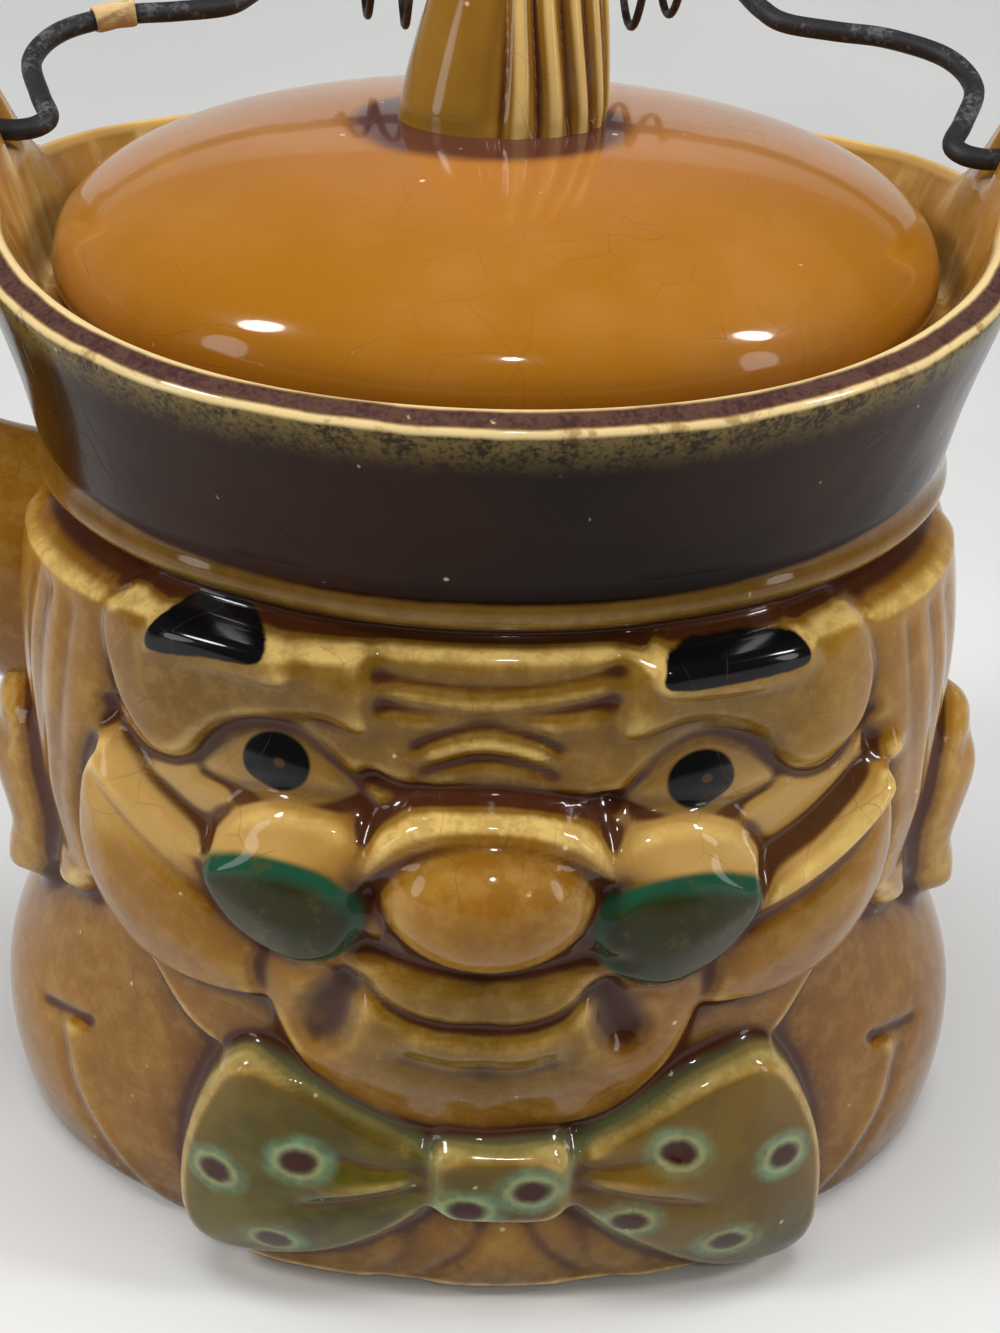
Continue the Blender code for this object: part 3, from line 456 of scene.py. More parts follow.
def carve_bow_tie(skin):
    """Two full lobes, the folds that leave the knot, the knot, and tails under the lobes."""
    skin.lift([(-30, 9), (-16, 12), (-3, 20), (0, 8), (-6, 0), (-26, -2)], 4.0, 1.6, 3.0)
    skin.lift([(12, 20), (27, 7), (36, 4), (36, -2), (12, -2), (6, 6)], 4.0, 1.6, 3.0)
    skin.lift([(-5, 22), (11, 22), (15, 9), (19, 2), (10, -3), (-4, -3), (-11, 3), (-8, 10)], 3.4, 2.4, 3.4)
    skin.stroke([(2, 21), (0, 12), (-6, 3)], -0.9, 1.2)
    skin.stroke([(6, 21), (9, 12), (14, 4)], -0.9, 1.2)
    skin.lift(TIE_LEFT, 6.4, 3.8, 2.4, 11.0)
    skin.lift(TIE_RIGHT, 6.4, 3.8, 2.4, 11.0)
    for fold in ([(-5, 28.6), (-11, 25.6), (-18, 23)], [(-5, 31), (-10, 31.6), (-15, 33)],
                 [(12, 28.8), (19, 25.6), (26, 23)], [(12, 31), (18, 32), (23, 33.6)]):
        skin.stroke(fold, -1.2, 1.3)
    skin.stroke([(-5, 30), (-10, 28.8), (-16, 27.6)], 0.6, 1.2)
    skin.stroke([(12, 30), (18, 29), (24, 27.8)], 0.6, 1.2)
    skin.lift(TIE_KNOT, 8.8, 1.4, 2.0, 4.0)


def carving(across, up, crease):
    """The whole relief: the carved figure under the hat, the roll over the crease and the crease."""
    skin = Carving(across, up)
    for carve in (carve_coat, carve_head, carve_forehead, carve_eyes, carve_mouth, carve_nose, carve_bow_tie):
        carve(skin)
    soft = 2.5 * smooth_step(skin.side, 48.0, 56.0)
    under_hat = 1 - smooth_step(up, crease - 2.4 - soft, crease + 1.6 - soft)
    over_foot = smooth_step(up, -1.5, 3.0)
    roll = 2.2 * np.exp(-((up - crease - 3.4) / 2.6) ** 2)
    carved = blurred(skin.height, 3)
    on_brow = smooth_step(carved, 5.0, 7.0) * (np.abs(across) < 50)
    line = -1.7 * np.exp(-((up - crease) / 0.9) ** 2) * (1 - on_brow)
    return carved * under_hat * over_foot + roll + line


def blurred(field, times):
    """Repeated mean of each point with its four neighbours; columns go round, rows stop at the ends."""
    for _ in range(times):
        rows = np.concatenate([field[:1], field, field[-1:]])
        field = (field * 2 + rows[:-2] + rows[2:] + np.roll(field, 1, 1) + np.roll(field, -1, 1)) / 6
    return field


# ---- pot ----

class PotShape:
    """The bust's plain ovals, its rim and its lugs, from the pot's sizes in millimetres."""

    def __init__(self, sizes):
        self.__dict__.update(sizes)
        self.rim = self.crease_height + self.brim_height
        self.seat = self.rim - self.seat_depth

    def oval(self, height):
        """Half width and half depth at a height: a smooth line through foot, shoulder, head, crease, rim."""
        in_brim = [self.crease_height + share * self.brim_height for share in (0.0, 0.175, 0.525, 1.0)]
        places = [0, 8, 28, 43, 51, 75, 100, 112, *in_brim]
        brim = self.rim_half_width - self.crease_half_width
        brim_depth = self.rim_half_depth - self.crease_half_depth
        widths = [self.foot_half_width, self.shoulder_half_width, self.shoulder_half_width - 1.0,
                  0.4 * self.shoulder_half_width + 0.6 * self.head_half_width, self.head_half_width,
                  self.head_half_width, self.head_half_width - 0.5, self.crease_half_width + 1.0,
                  self.crease_half_width, self.crease_half_width + 0.22 * brim,
                  self.crease_half_width + 0.5 * brim, self.rim_half_width]
        depths = [self.foot_half_depth, self.shoulder_half_depth - 1.5, self.shoulder_half_depth,
                  self.shoulder_half_depth, self.head_half_depth - 0.5, self.head_half_depth,
                  self.head_half_depth, self.crease_half_depth + 1.0, self.crease_half_depth,
                  self.crease_half_depth + 0.16 * brim_depth, self.crease_half_depth + 0.48 * brim_depth,
                  self.rim_half_depth]
        above = np.maximum(height - self.rim, 0.0) * 0.18
        return smooth_through(places, widths, height) + above, smooth_through(places, depths, height) + above

    def rim_height(self, angle):
        """Low in front, higher behind and at the sides, with a rounded lug over each side."""
        sway = self.brim_back_rise * (1 - np.cos(angle)) / 2
        off = np.abs(np.abs(angle) - math.pi / 2) * self.rim_half_width / self.lug_half_span
        lug = self.lug_rise * (1 + np.cos(math.pi * np.clip(off, 0, 1))) / 2
        return self.rim + sway + self.brim_side_rise * np.sin(angle) ** 4 + lug

    def hinge(self):
        return float(self.rim_height(np.array(math.pi / 2))) - self.lug_hole_below_tip


def oval_points(angle, half_width, half_depth, height, out=0.0):
    """Points on an oval, moved out along its own normal."""
    normal = np.stack([np.sin(angle) * half_depth, -np.cos(angle) * half_width], -1)
    normal /= np.linalg.norm(normal, axis=-1, keepdims=True)
    x = half_width * np.sin(angle) + normal[..., 0] * out
    y = -half_depth * np.cos(angle) + normal[..., 1] * out
    return np.stack(np.broadcast_arrays(x, y, height), -1)


def pot_columns():
    """Angles round the pot, close together on the face, wider at the sides and widest behind."""
    face = np.linspace(-0.98, 0.98, 188, endpoint=False)
    right = np.linspace(0.98, 1.95, 50, endpoint=False)
    back = np.linspace(1.95, TURN - 1.95, 66, endpoint=False)
    left = np.linspace(TURN - 1.95, TURN - 0.98, 50, endpoint=False)
    return np.concatenate([face, right, back, left])


def figure_rows(shape, angle, across):
    """The carved bust from its rounded foot to over the crease, and its relief."""
    crease = shape.crease_height
    up = np.concatenate([[0.0, 0.3, 0.9, 1.7, FOOT_ROUND], np.linspace(3.6, crease - 2, 160),
                         np.linspace(crease - 1.4, crease + BRIM_START, 15)])
    tuck = 2.4 * (1 - np.sqrt(np.clip(1 - (1 - up / FOOT_ROUND) ** 2, 0, 1))) * (up < FOOT_ROUND)
    up = up[:, None] + np.zeros_like(across)
    relief = carving(np.broadcast_to(across, up.shape), up, crease)
    return oval_points(angle, *shape.oval(up), up, relief - tuck[:, None]), relief


def brim_rows(shape, angle, top):
    """The flared brim, and half an arch of rim from its outer to its inner edge."""
    low = shape.crease_height + BRIM_START
    height = low + np.linspace(0.03, 1.0, 26)[:, None] * (top - 3.3 - low)
    brim = oval_points(angle, *shape.oval(height), height)
    lip_in = np.array([0.1, 0.5, 1.2, 2.2, 3.3, 4.2, 4.8, 5.1])[:, None] / 5.0 * shape.wall
    height = top + np.array([-2.5, -1.85, -1.35, -0.85, -0.35, -0.05, -0.5, -1.4])[:, None]
    lip = oval_points(angle, *shape.oval(height), height, -lip_in)
    limit = shape.rim_half_depth - 0.25
    for part in (brim, lip):
        part[..., 1] = np.minimum(part[..., 1], limit + 0.1 * (part[..., 1] - limit))
    return brim, lip


def inner_rows(shape, angle, across, top):
    """The brim's inside down to the seat, then the seat, the throat and the hollow of the pot."""
    share = np.linspace(0.97, 0.06, 16)[:, None]
    height = shape.seat + share * (top - 1.4 - shape.seat)
    wide, deep = (shape.seat_radius + (half - shape.wall - shape.seat_radius) * share ** 0.8
                  for half in shape.oval(height))
    inner_brim = oval_points(angle, wide, deep, height)
    wide, narrow, seat = shape.seat_radius, shape.opening_radius, shape.seat
    seat_run = [(wide - 0.5, seat), (0.5 * (wide + narrow), seat), (narrow + 0.7, seat), (narrow, seat - 0.7),
                (narrow, seat - shape.throat_depth)]
    below = [oval_points(angle[0], radius, radius, level) for radius, level in seat_run]
    for level in (114.0, 104.0, 90.0, 75.0, 60.0, 46.0, 32.0, 20.0, 10.0, 6.0, 5.0):
        around = [carving(across + over, np.full(across.shape, level + rise), shape.crease_height)
                  for over in (-5, 0, 5) for rise in (-4, 4)]
        tuck_in = {6.0: 1.6, 5.0: 5.0}.get(level, 0.0)
        out = np.minimum(np.minimum.reduce(around), 6.0)[0] - shape.wall - tuck_in
        below.append(oval_points(angle[0], *shape.oval(np.array(level)), level, out))
    return inner_brim, np.stack(below)


def dimple_lugs(grid, shape, outer, over_seat):
    """Draws the skin round each hinge hole in to the middle of the wall, and returns how much."""
    hole = 1 - smooth_step(np.hypot(grid[..., 1], grid[..., 2] - shape.hinge()), 1.9, 3.2)
    hole[over_seat:] = 0
    middle = float(shape.oval(np.array(shape.hinge()))[0]) - shape.wall / 2
    middle = middle + np.where(np.arange(len(grid)) < outer, 0.2, -0.2)[:, None]
    grid[..., 0] += hole * (np.sign(grid[..., 0]) * middle - grid[..., 0])
    return hole


def glaze_fields(grid, relief, hole, across, rim_row):
    """What the glaze reads at each point: hollowness, places on the sheet, depth inside outlines.

    Hollowness is the relief's mean over near points less the relief itself.
    """
    carved = len(relief)
    over_brim = carved + 6
    outside = np.concatenate([relief, np.zeros((len(grid) - carved, relief.shape[1]))])
    fields = {"lug_hole_shade": hole, "across": np.broadcast_to(across, grid.shape[:2]), "up": grid[..., 2]}
    fields["side"] = np.abs(fields["across"])
    for name, times in (("hollow", 70), ("fine_hollow", 5)):
        fields[name] = np.zeros(grid.shape[:2])
        fields[name][:over_brim] = (blurred(outside, times) - outside)[:over_brim]
    step = np.linalg.norm(np.diff(grid, axis=0), axis=-1)
    run = np.concatenate([np.zeros((1, step.shape[1])), np.cumsum(step, axis=0)])
    fields["from_rim"] = np.clip(run[rim_row] - run, -60, 60)
    for name, outlines in (("tie_depth", (TIE_LEFT, TIE_RIGHT, TIE_KNOT)), ("lens_depth", (LENS_LEFT, LENS_RIGHT)),
                           ("black_depth", (BLACK_LEFT, BLACK_RIGHT)), ("eye_depth", (EYE_LEFT, EYE_RIGHT))):
        fields[name] = np.full(grid.shape[:2], -FAR)
        fields[name][:carved] = np.maximum.reduce(
            [depth_inside(fields["across"][:carved], fields["up"][:carved], line) for line in outlines])
    return fields


def pot_skin(shape):
    """Outside, rim, brim, seat, throat and hollow of the pot as one grid, with its painted fields.

    A point is oval(height) at its column's angle, moved out by the carving. The rim is half an
    arch from the outer to the inner edge, and the inside follows the outside one wall further in.
    """
    angle = pot_columns()[None, :]
    turn = (angle + math.pi) % TURN - math.pi
    across = ACROSS_PER_RADIAN * turn
    top = shape.rim_height(turn)
    figure, relief = figure_rows(shape, angle, across)
    brim, lip = brim_rows(shape, angle, top)
    inner_brim, below = inner_rows(shape, angle, across, top)
    grid = np.concatenate([figure, brim, lip, inner_brim, below])
    outer = len(figure) + len(brim)
    hole = dimple_lugs(grid, shape, outer, len(grid) - len(below))
    mesh = sheet_mesh("pot", grid, (0, 0, 0), (0, 0, 5.0))
    for name, values in glaze_fields(grid, relief, hole, across, outer + 1).items():
        write_attribute(mesh, name, values, -FAR if name.endswith("depth") else 0.0)
    return mesh


SPOUT_FIELDS = {"from_rim": 40.0, "across": -105.0, "side": 105.0, "fine_hollow": 0.0, "lug_hole_shade": 0.0,
                "tie_depth": -FAR, "lens_depth": -FAR, "black_depth": -FAR, "eye_depth": -FAR}


def spout_skin(shape):
    """The spout as a shell: ovals round a cubic curve that leaves the head and turns up.

    The outer ovals flare at the root into the head. Past the mouth's rounded lip the inner ovals
    go back down, one wall further in, and close deep inside.
    """
    reach, root = shape.spout_reach, SPOUT_ROOT
    rise = shape.rim + shape.spout_over_rim - root
    side = -shape.head_half_width
    posts = np.array([[side + 10, root - 0.11 * rise], [side - 0.36 * reach, root + 0.04 * rise],
                      [side - 0.8 * reach, root + 0.3 * rise], [side - reach, root + rise]])

    def middle(share):
        back = 1 - share
        weights = np.stack([back ** 3, 3 * back ** 2 * share, 3 * back * share ** 2, share ** 3], -1)
        return weights @ posts

    out = np.linspace(0.0, 0.985, 34)
    lip = np.linspace(0, math.pi, 7)
    share = np.concatenate([out, 0.985 + 0.012 * np.sin(lip[1:-1]), out[::-1][:22]])
    inset = np.concatenate([np.zeros(len(out)), 1.35 * (1 - np.cos(lip[1:-1])), np.full(22, 2.7)])
    centre = middle(share)
    along = middle(share + 0.004) - middle(share - 0.004)
    along /= np.linalg.norm(along, axis=1, keepdims=True)
    narrow = np.maximum(1 - share, 0.0) ** 1.3
    flare = 5.0 * np.exp(-share / 0.10) * (inset == 0)
    deep = 9.0 + 6.0 * narrow + flare - inset
    high = 9.5 + 14.5 * narrow + flare * 0.6 - inset
    turn = np.linspace(0, TURN, 48, endpoint=False)
    lift = high[:, None] * np.sin(turn)
    x = centre[:, :1] + along[:, 1:] * lift
    z = centre[:, 1:] - along[:, :1] * lift
    y = deep[:, None] * np.cos(turn)
    grid = np.stack([x, y, z], -1)
    first, last = (np.array([*spot[:1], 0.0, spot[1]]) for spot in (centre[0], centre[-1]))
    mesh = sheet_mesh("spout", grid, first, last)
    for name, value in SPOUT_FIELDS.items():
        write_attribute(mesh, name, np.full(grid.shape[:2], value), value)
    pale_mouth = np.exp(-(np.arange(len(share)) - len(out) - 2.0) ** 2 / 6.0)[:, None] + 0 * turn
    write_attribute(mesh, "hollow", -0.5 * pale_mouth)
    under_band = SPOUT_ROOT - 2.0
    write_attribute(mesh, "up", np.minimum(grid[..., 2], under_band), under_band)
    return mesh


# ---- lid ----

def plume_rings(sizes, base, angle):
    """The knob's rings, which shrink and lean as they rise and close in a rounded top.

    The right half has sharp flutes, a power of a cosine round the ring, and the left a broad leaf.
    With the rings come how far each point stands on a flute's ridge and how far it is on the leaf.
    """
    share = np.concatenate([np.linspace(0.0, 0.9, 46), [0.93, 0.955, 0.975, 0.988, 0.996]])[:, None]
    swell = 1.0 - 0.42 * share ** 2.2 - 0.05 * np.sin(math.pi * share)
    closing = np.sqrt(np.clip(1 - (np.clip(share - 0.86, 0, 1) / 0.14) ** 2, 0.0, 1.0))
    turned = angle[None, :] + 0.16 * share
    right = smooth_step(np.cos(turned + 0.05), -0.10, 0.12)
    ridge = np.abs(np.cos(9.0 * turned + 0.9 * share + 0.3 * np.sin(2 * turned + 5 * share))) ** 0.9
    flute = (1.5 * ridge - 1.0) * right
    leaf = (1 - right) * (0.8 * np.cos(2.0 * (turned - 3.9)) - 0.8 * np.exp(-((turned - 4.62) / 0.08) ** 2))
    carve = (flute + leaf) * (0.35 + 0.65 * smooth_step(share, 0.0, 0.12)) * (1 - 0.3 * share)
    x = (sizes["knob_half_width"] * swell + carve) * closing * np.cos(angle) + sizes["knob_lean"] * share
    y = (sizes["knob_half_depth"] * swell + carve) * closing * np.sin(angle)
    z = base - 0.5 + (sizes["knob_height"] + 0.5) * share + 0 * angle
    return np.stack([x, y, z], -1), (ridge - 0.55) * right + 0.12 * leaf, 1 - right


def lid_skin(sizes, shape):
    """The lid as rings: hollow underside, skirt, rounded edge, superellipse dome, then the plume.

    Dome height is rise * (1 - (r / R) ** 2.4) ** (1 / 2.4).
    """
    radius = sizes["radius"]
    rise, drop = sizes["dome_rise"], sizes["edge_drop"]
    seat_top = shape.seat + LID_GAP
    widest = seat_top + drop
    skirt = shape.opening_radius - sizes["skirt_clearance"]
    hollow = skirt - 3.5

    def dome(r):
        return rise * (1 - np.clip(r / radius, 0, 1) ** 2.4) ** (1 / 2.4)

    under = widest - sizes["thickness"]
    inner = hollow * np.array([0.2, 0.4, 0.55, 0.7, 0.82, 0.92, 0.98])
    profile = [np.stack([inner, under + dome(inner)], -1)]
    bottom = seat_top - sizes["skirt_depth"]
    profile.append(np.array([(hollow, under + dome(hollow) - 1.0), (hollow, bottom + 1.0), (hollow + 0.8, bottom),
                             (skirt - 0.8, bottom), (skirt, bottom + 1.0), (skirt, seat_top - 0.2),
                             (skirt + 0.3, seat_top), (radius - 5.0, seat_top)]))
    bend = np.linspace(-1.25, 0.0, 9)
    profile.append(np.stack([radius - 4.4 + 4.4 * np.cos(bend), widest + drop * np.sin(bend) / math.sin(1.25)], -1))
    lower = np.sin(np.linspace(math.pi / 2, math.asin(0.17), 60))[1:] * radius
    profile.append(np.stack([lower, widest + dome(lower)], -1))
    profile = np.concatenate(profile)
    angle = np.linspace(0, TURN, 240, endpoint=False)
    rings = np.stack(np.broadcast_arrays(profile[:, :1] * np.cos(angle), profile[:, :1] * np.sin(angle),
                                         profile[:, 1:]), -1)
    base = widest + dome(sizes["knob_half_width"])
    knob, ridge, leafy = plume_rings(sizes, base, angle)
    grid = np.concatenate([rings, knob])
    pole = knob[-1].mean(axis=0)
    pole[2] = base + sizes["knob_height"]
    mesh = sheet_mesh("lid_and_knob", grid, (0, 0, under + rise), pole)
    plain = np.zeros((len(rings), len(angle)))
    write_attribute(mesh, "ridge", np.concatenate([plain, ridge]))
    write_attribute(mesh, "on_knob", np.concatenate([plain, np.ones_like(ridge)]), 1.0)
    write_attribute(mesh, "leafy", np.concatenate([plain, leafy]))
    spread = np.concatenate([np.linalg.norm(rings[..., :2], axis=-1), np.zeros_like(ridge)])
    spread[:len(inner) + 15] = 60.0
    write_attribute(mesh, "from_middle", spread)
    return mesh


# ---- bail ----

def tube_skin(line, radius, sides, radial):
    """Rings across a line: the middle plus radius times a circle of two vectors square to the line.

    The first vector is the radial direction made square to the tangent, the second completes it.
    """
    along = np.gradient(line, axis=0)
    along /= np.linalg.norm(along, axis=1, keepdims=True)
    side = radial - along * np.sum(radial * along, axis=1, keepdims=True)
    side /= np.linalg.norm(side, axis=1, keepdims=True)
    other = np.cross(along, side)
    turn = np.linspace(0, TURN, sides, endpoint=False)
    radius = np.broadcast_to(np.asarray(radius, float), (len(line), sides))
    ring = side[:, None] * np.cos(turn)[None, :, None] + other[:, None] * np.sin(turn)[None, :, None]
    return line[:, None] + ring * radius[..., None]


def leaned(points, hinge, tilt):
    """Turns points that stand over the hinge back about the hinge line, and lifts them to it."""
    y = points[..., 1] * math.cos(tilt) + points[..., 2] * math.sin(tilt)
    z = -points[..., 1] * math.sin(tilt) + points[..., 2] * math.cos(tilt)
    return np.stack([points[..., 0], y, z + hinge], -1)


def bail_line(sizes, inside, outside, steps):
    """The bail's middle line from tail to tail, upright over the hinge."""
    wire_in = inside - HOOK_INSIDE
    tail = outside + TAIL_OUTSIDE
    half_grip = sizes["grip_length"] / 2
    shoulder = sizes["height"] - sizes["crown"]
    crown = sizes["crown"]
    half = [(tail, -7.0), (tail, -3.6), (tail - 1.08, -1.08), (tail - 3.6, 0.0), (inside, 0.0),
            (wire_in + 3.6, 0.0), (wire_in + 1.08, 1.08), (wire_in, 3.6), (wire_in + 2.25, 9.0),
            (wire_in + 5.0, 18.0), (wire_in + 2.0, 0.8 * shoulder), (0.905 * wire_in, 0.95 * shoulder),
            (0.78 * wire_in, shoulder), (half_grip + 13.0, shoulder + 0.15 * crown),
            (half_grip + 9.5, shoulder + 0.45 * crown), (half_grip + 6.5, shoulder + 0.88 * crown),
            (half_grip + 2.5, sizes["height"])]
    corners = [(-x, 0.0, h) for x, h in half] + [(x, 0.0, h) for x, h in reversed(half)]
    return curve_through(corners, steps=steps)


def bail_mesh(sizes, line, lean):
    """The wire's rings along its line, each started from the direction square to the bail."""
    grid = tube_skin(line, sizes["wire"] / 2, 20, np.broadcast_to((0.0, 1.0, 0.0), line.shape))
    return sheet_mesh("bail_wire", lean(grid), lean(line[0]), lean(line[-1]))


def coil_mesh(sizes, turns, lean):
    """A barrel coil: a circle round the grip whose radius is a power of a sine of the way along."""
    wire = sizes["grip_wire"] / 2
    tight = sizes["wire"] / 2 + wire + 0.3
    share = np.linspace(0, 1, turns * 26 + 1)
    swell = np.sin(math.pi * np.clip((share - 0.03) / 0.94, 0, 1)) ** 0.45
    reach = tight + (sizes["grip_radius"] - wire - tight) * swell
    turn = TURN * turns * share
    radial = np.stack([0 * turn, np.sin(turn), np.cos(turn)], -1)
    middle = np.stack([sizes["grip_length"] * (share - 0.5), 0 * turn, 0 * turn + sizes["height"]], -1)
    line = middle + radial * reach[:, None]
    return sheet_mesh("grip_coil_wire", lean(tube_skin(line, wire, 10, radial)), lean(line[0]), lean(line[-1]))


def tape_mesh(sizes, line, inside, lean):
    """Tape round a short stretch of the wire, a little uneven, with a seam that winds along it."""
    off = np.hypot(line[:, 0] + inside - TAPE_INSIDE, line[:, 2] - sizes["height"] + sizes["crown"])
    gone = np.concatenate([[0], np.cumsum(np.linalg.norm(np.diff(line, axis=0), axis=1))])
    at = gone[np.argmin(off)] + np.linspace(-0.5, 0.5, 28) * sizes["band_length"]
    strip = np.stack([np.interp(at, gone, line[:, axis]) for axis in range(3)], -1)
    around = np.linspace(0, TURN, 40, endpoint=False)
    along = np.linspace(-1, 1, 28)[:, None]
    wire = sizes["wire"] / 2
    seam = smooth_step(np.sin(around - 0.8 + 0.5 * along), -0.06, 0.06)
    skin = wire + 0.32 + 0.34 * seam + 0.06 * np.sin(3 * around + 5 * along)
    skin = skin - 0.16 * smooth_step(np.abs(along), 0.85, 1.0)
    flat = np.broadcast_to((0.0, 1.0, 0.0), strip.shape)
    outer, inner = (tube_skin(strip, radius, 40, flat) for radius in (skin, wire + 0.12))
    return sheet_mesh("tape_wrap", lean(np.concatenate([outer, inner[::-1]])), wrap_rows=True)


# ---- shader expressions ----

class Wired:
    """A socket of a material. Sums and products of it add Math nodes, so shader maths reads as maths."""

    def __init__(self, tree, socket=None):
        self.tree, self.socket = tree, socket

    def node(self, kind, settings=None, values=None, out=0):
        """Any other node: its type, its settings, then the values or links of its sockets."""
        made = self.tree.nodes.new(kind)
        for name, value in (settings or {}).items():
            setattr(made, name, value)
        for name, value in (values or {}).items():
            if isinstance(value, Wired):
                self.tree.links.new(value.socket, made.inputs[name])
            else:
                made.inputs[name].default_value = value
        return Wired(self.tree, made.outputs[out])

    def maths(self, operation, *values):
        return self.node("ShaderNodeMath", {"operation": operation}, dict(enumerate(values)))

    def __add__(self, other):
        return self.maths("ADD", self, other)

    def __sub__(self, other):
        return self.maths("SUBTRACT", self, other)

    def __rsub__(self, other):
        return self.maths("SUBTRACT", other, self)

    def __mul__(self, other):
        return self.maths("MULTIPLY", self, other)

    def __truediv__(self, other):
        return self.maths("DIVIDE", self, other)

    def __pow__(self, other):
        return self.maths("POWER", self, other)

    def __abs__(self):
        return self.maths("ABSOLUTE", self)

    __radd__ = __add__
    __rmul__ = __mul__

    def clipped(self):
        return self.node("ShaderNodeClamp", None, {"Value": self})

    def step(self, low, high):
        """0 below low, 1 above high, smooth between."""
        values = {"Value": self, "From Min": low, "From Max": high}
        return self.node("ShaderNodeMapRange", {"interpolation_type": "SMOOTHSTEP"}, values)

    def between(self, low, high, soft):
        """1 between low and high with soft edges."""
        return self.step(low - soft, low + soft) * (1 - self.step(high - soft, high + soft))

    def mix(self, first, second):
        """The first colour where this is 0, the second where it is 1."""
        return self.node("ShaderNodeMix", {"data_type": "RGBA"}, {0: self, 6: first, 7: second}, 2)

    def noise(self, place, scale, detail=3.0, roughness=0.55):
        return self.node("ShaderNodeTexNoise", None,
                         {"Vector": place, "Scale": scale, "Detail": detail, "Roughness": roughness})

    def cells(self, place, scale, feature="F1"):
        values = {"Vector": place, "Scale": scale}
        return self.node("ShaderNodeTexVoronoi", {"feature": feature}, values, "Distance")

    def attribute(self, name):
        return self.node("ShaderNodeAttribute", {"attribute_name": name}, None, "Fac")

    def place(self):
        return self.node("ShaderNodeTexCoord", None, None, "Object")

    def stretched(self, place, scale):
        return self.node("ShaderNodeMapping", None, {"Vector": place, "Scale": scale})

    def bump(self, height, strength, distance):
        return self.node("ShaderNodeBump", None, {"Height": height, "Strength": strength, "Distance": distance})


def new_material(name):
    old = bpy.data.materials.get(name)
    if old:
        bpy.data.materials.remove(old)
    made = bpy.data.materials.new(name)
    made.use_nodes = True
    return made, Wired(made.node_tree)


def finish_material(made, fixed, **varying):
    """Fixed numbers go on the shader's own sockets, and what varies is linked to them."""
    shader = made.node_tree.nodes["Principled BSDF"]
    for name, value in fixed.items():
        shader.inputs[name].default_value = value
    for name, value in varying.items():
        made.node_tree.links.new(value.socket, shader.inputs[name.replace("_", " ").title()])
    return made


def crazing(wired, place, scale, width):
    """Fine cracks in the glaze: the edges of warped cells, broken up by noise."""
    broken = wired.noise(place, scale * 0.6, 2.0)
    swirl = wired.node("ShaderNodeTexNoise", None, {"Vector": place, "Scale": scale * 0.7}, "Color")
    shift = wired.node("ShaderNodeVectorMath", {"operation": "SCALE"}, {0: swirl, "Scale": 0.004})
    moved = wired.node("ShaderNodeVectorMath", {"operation": "ADD"}, {0: place, 1: shift})
    line = 1 - wired.cells(moved, scale, "DISTANCE_TO_EDGE").step(0.0, width)
    return line * broken.step(0.42, 0.62)


def near_spot(across, up, centre, radii):
    """Distance from a spot on the carved sheet in units of its radii."""
    x = (across - centre[0]) / radii[0]
    y = (up - centre[1]) / radii[1]
    return (x * x + y * y) ** 0.5


def glaze_over_relief(wired, place, read, colours):
    """Amber glaze, clouded and speckled, pale on crests and treacle in hollows, olive on the forehead, with painted
    shade in the wide hollows and the mouth corners, and pale patches under the eyes that are partly painted light.
    """
    side, up, cloud, patch, speck = (read[name] for name in ("side", "up", "cloud", "patch", "speck"))
    # Glaze pooled in the fine grooves, plus painted shade from the wide hollows of the carving
    glaze_pool_and_shade = read["hollow"] * 0.40 + read["fine_hollow"] * 4.6 + (cloud - 0.5) * 0.5
    dark = glaze_pool_and_shade.step(0.15, 1.30)
    # Painted shade: the wide hollows of the carving, from the broadly blurred relief, darken towards deep amber,
    # partly as deeper glaze
    shade = (read["hollow"] + (cloud - 0.5) * 0.8).step(-1.2, 1.6)
    roll = up.between(117.0, 123.5, 1.0)
    lips = (1 - near_spot(side, up, (0.0, 57.0), (21.0, 16.0)).step(0.5, 1.1))
    crest = read["fine_hollow"] * 6.0 + (cloud - 0.5) * 0.7
    pale = (0 - crest).step(0.30, 2.20) * (1 - (roll + lips + side.step(72.0, 82.0)).clipped() * 0.6)
    olive = up.step(84.0, 104.0) * (1 - up.step(122.0, 128.0)) * (1 - side.step(34.0, 62.0))
    base = patch.step(0.35, 0.65).mix(colours.amber, tint(130, 84, 20))
    base = (cloud.step(0.48, 0.70) * 0.5).mix(base, tint(178, 134, 48))
    base = (wired.noise(place, 110.0, 4.0, 0.7).step(0.5, 0.68) * 0.3).mix(base, tint(112, 74, 22))
    base = (shade * 0.8).mix(base, tint(84, 46, 8))
    base = ((olive * 0.8 + lips * 0.9).clipped() * 0.7).mix(base, tint(100, 78, 24))
    base = ((1 - up.step(2.0, 16.0)) * 0.6).mix(base, tint(74, 46, 10))
    base = (speck.step(0.42, 0.66) * 0.13).mix(base, tint(196, 160, 92))
    base = (roll * 0.55).mix(base, tint(84, 58, 20))
    # Pale patches under the eyes: partly thin glaze, partly painted light where these surfaces face the light from
    # above; they also hold back the dark of the hollows
    below = (1 - near_spot(side, up, (40.0, 86.0), (18.0, 10.0)).step(0.4, 1.2)) * (1.3 - dark)
    above = 1 - near_spot(side, up, (23.0, 87.5), (11.0, 5.0)).step(0.3, 1.1)
    # Painted shade: dark spots in the pits at the corners of the mouth
    mouth_corner_shade = 1 - near_spot(side, up, (18.6, 59.0), (4.6, 8.0)).step(0.2, 1.1)
    base = (mouth_corner_shade * 0.6).mix(base, tint(60, 34, 12))
    base = ((below + above * 0.7).clipped() * 0.6).mix(base, tint(208, 168, 98))
    base = (pale * (0.55 + 0.35 * speck.step(0.4, 0.6))).mix(base, colours.honey)
    # Treacle where the glaze pools in grooves, deepened by the painted shade of the wide hollows
    base = (dark * (0.92 - 0.3 * below.clipped())).mix(base, colours.treacle)
    return base, dark, pale


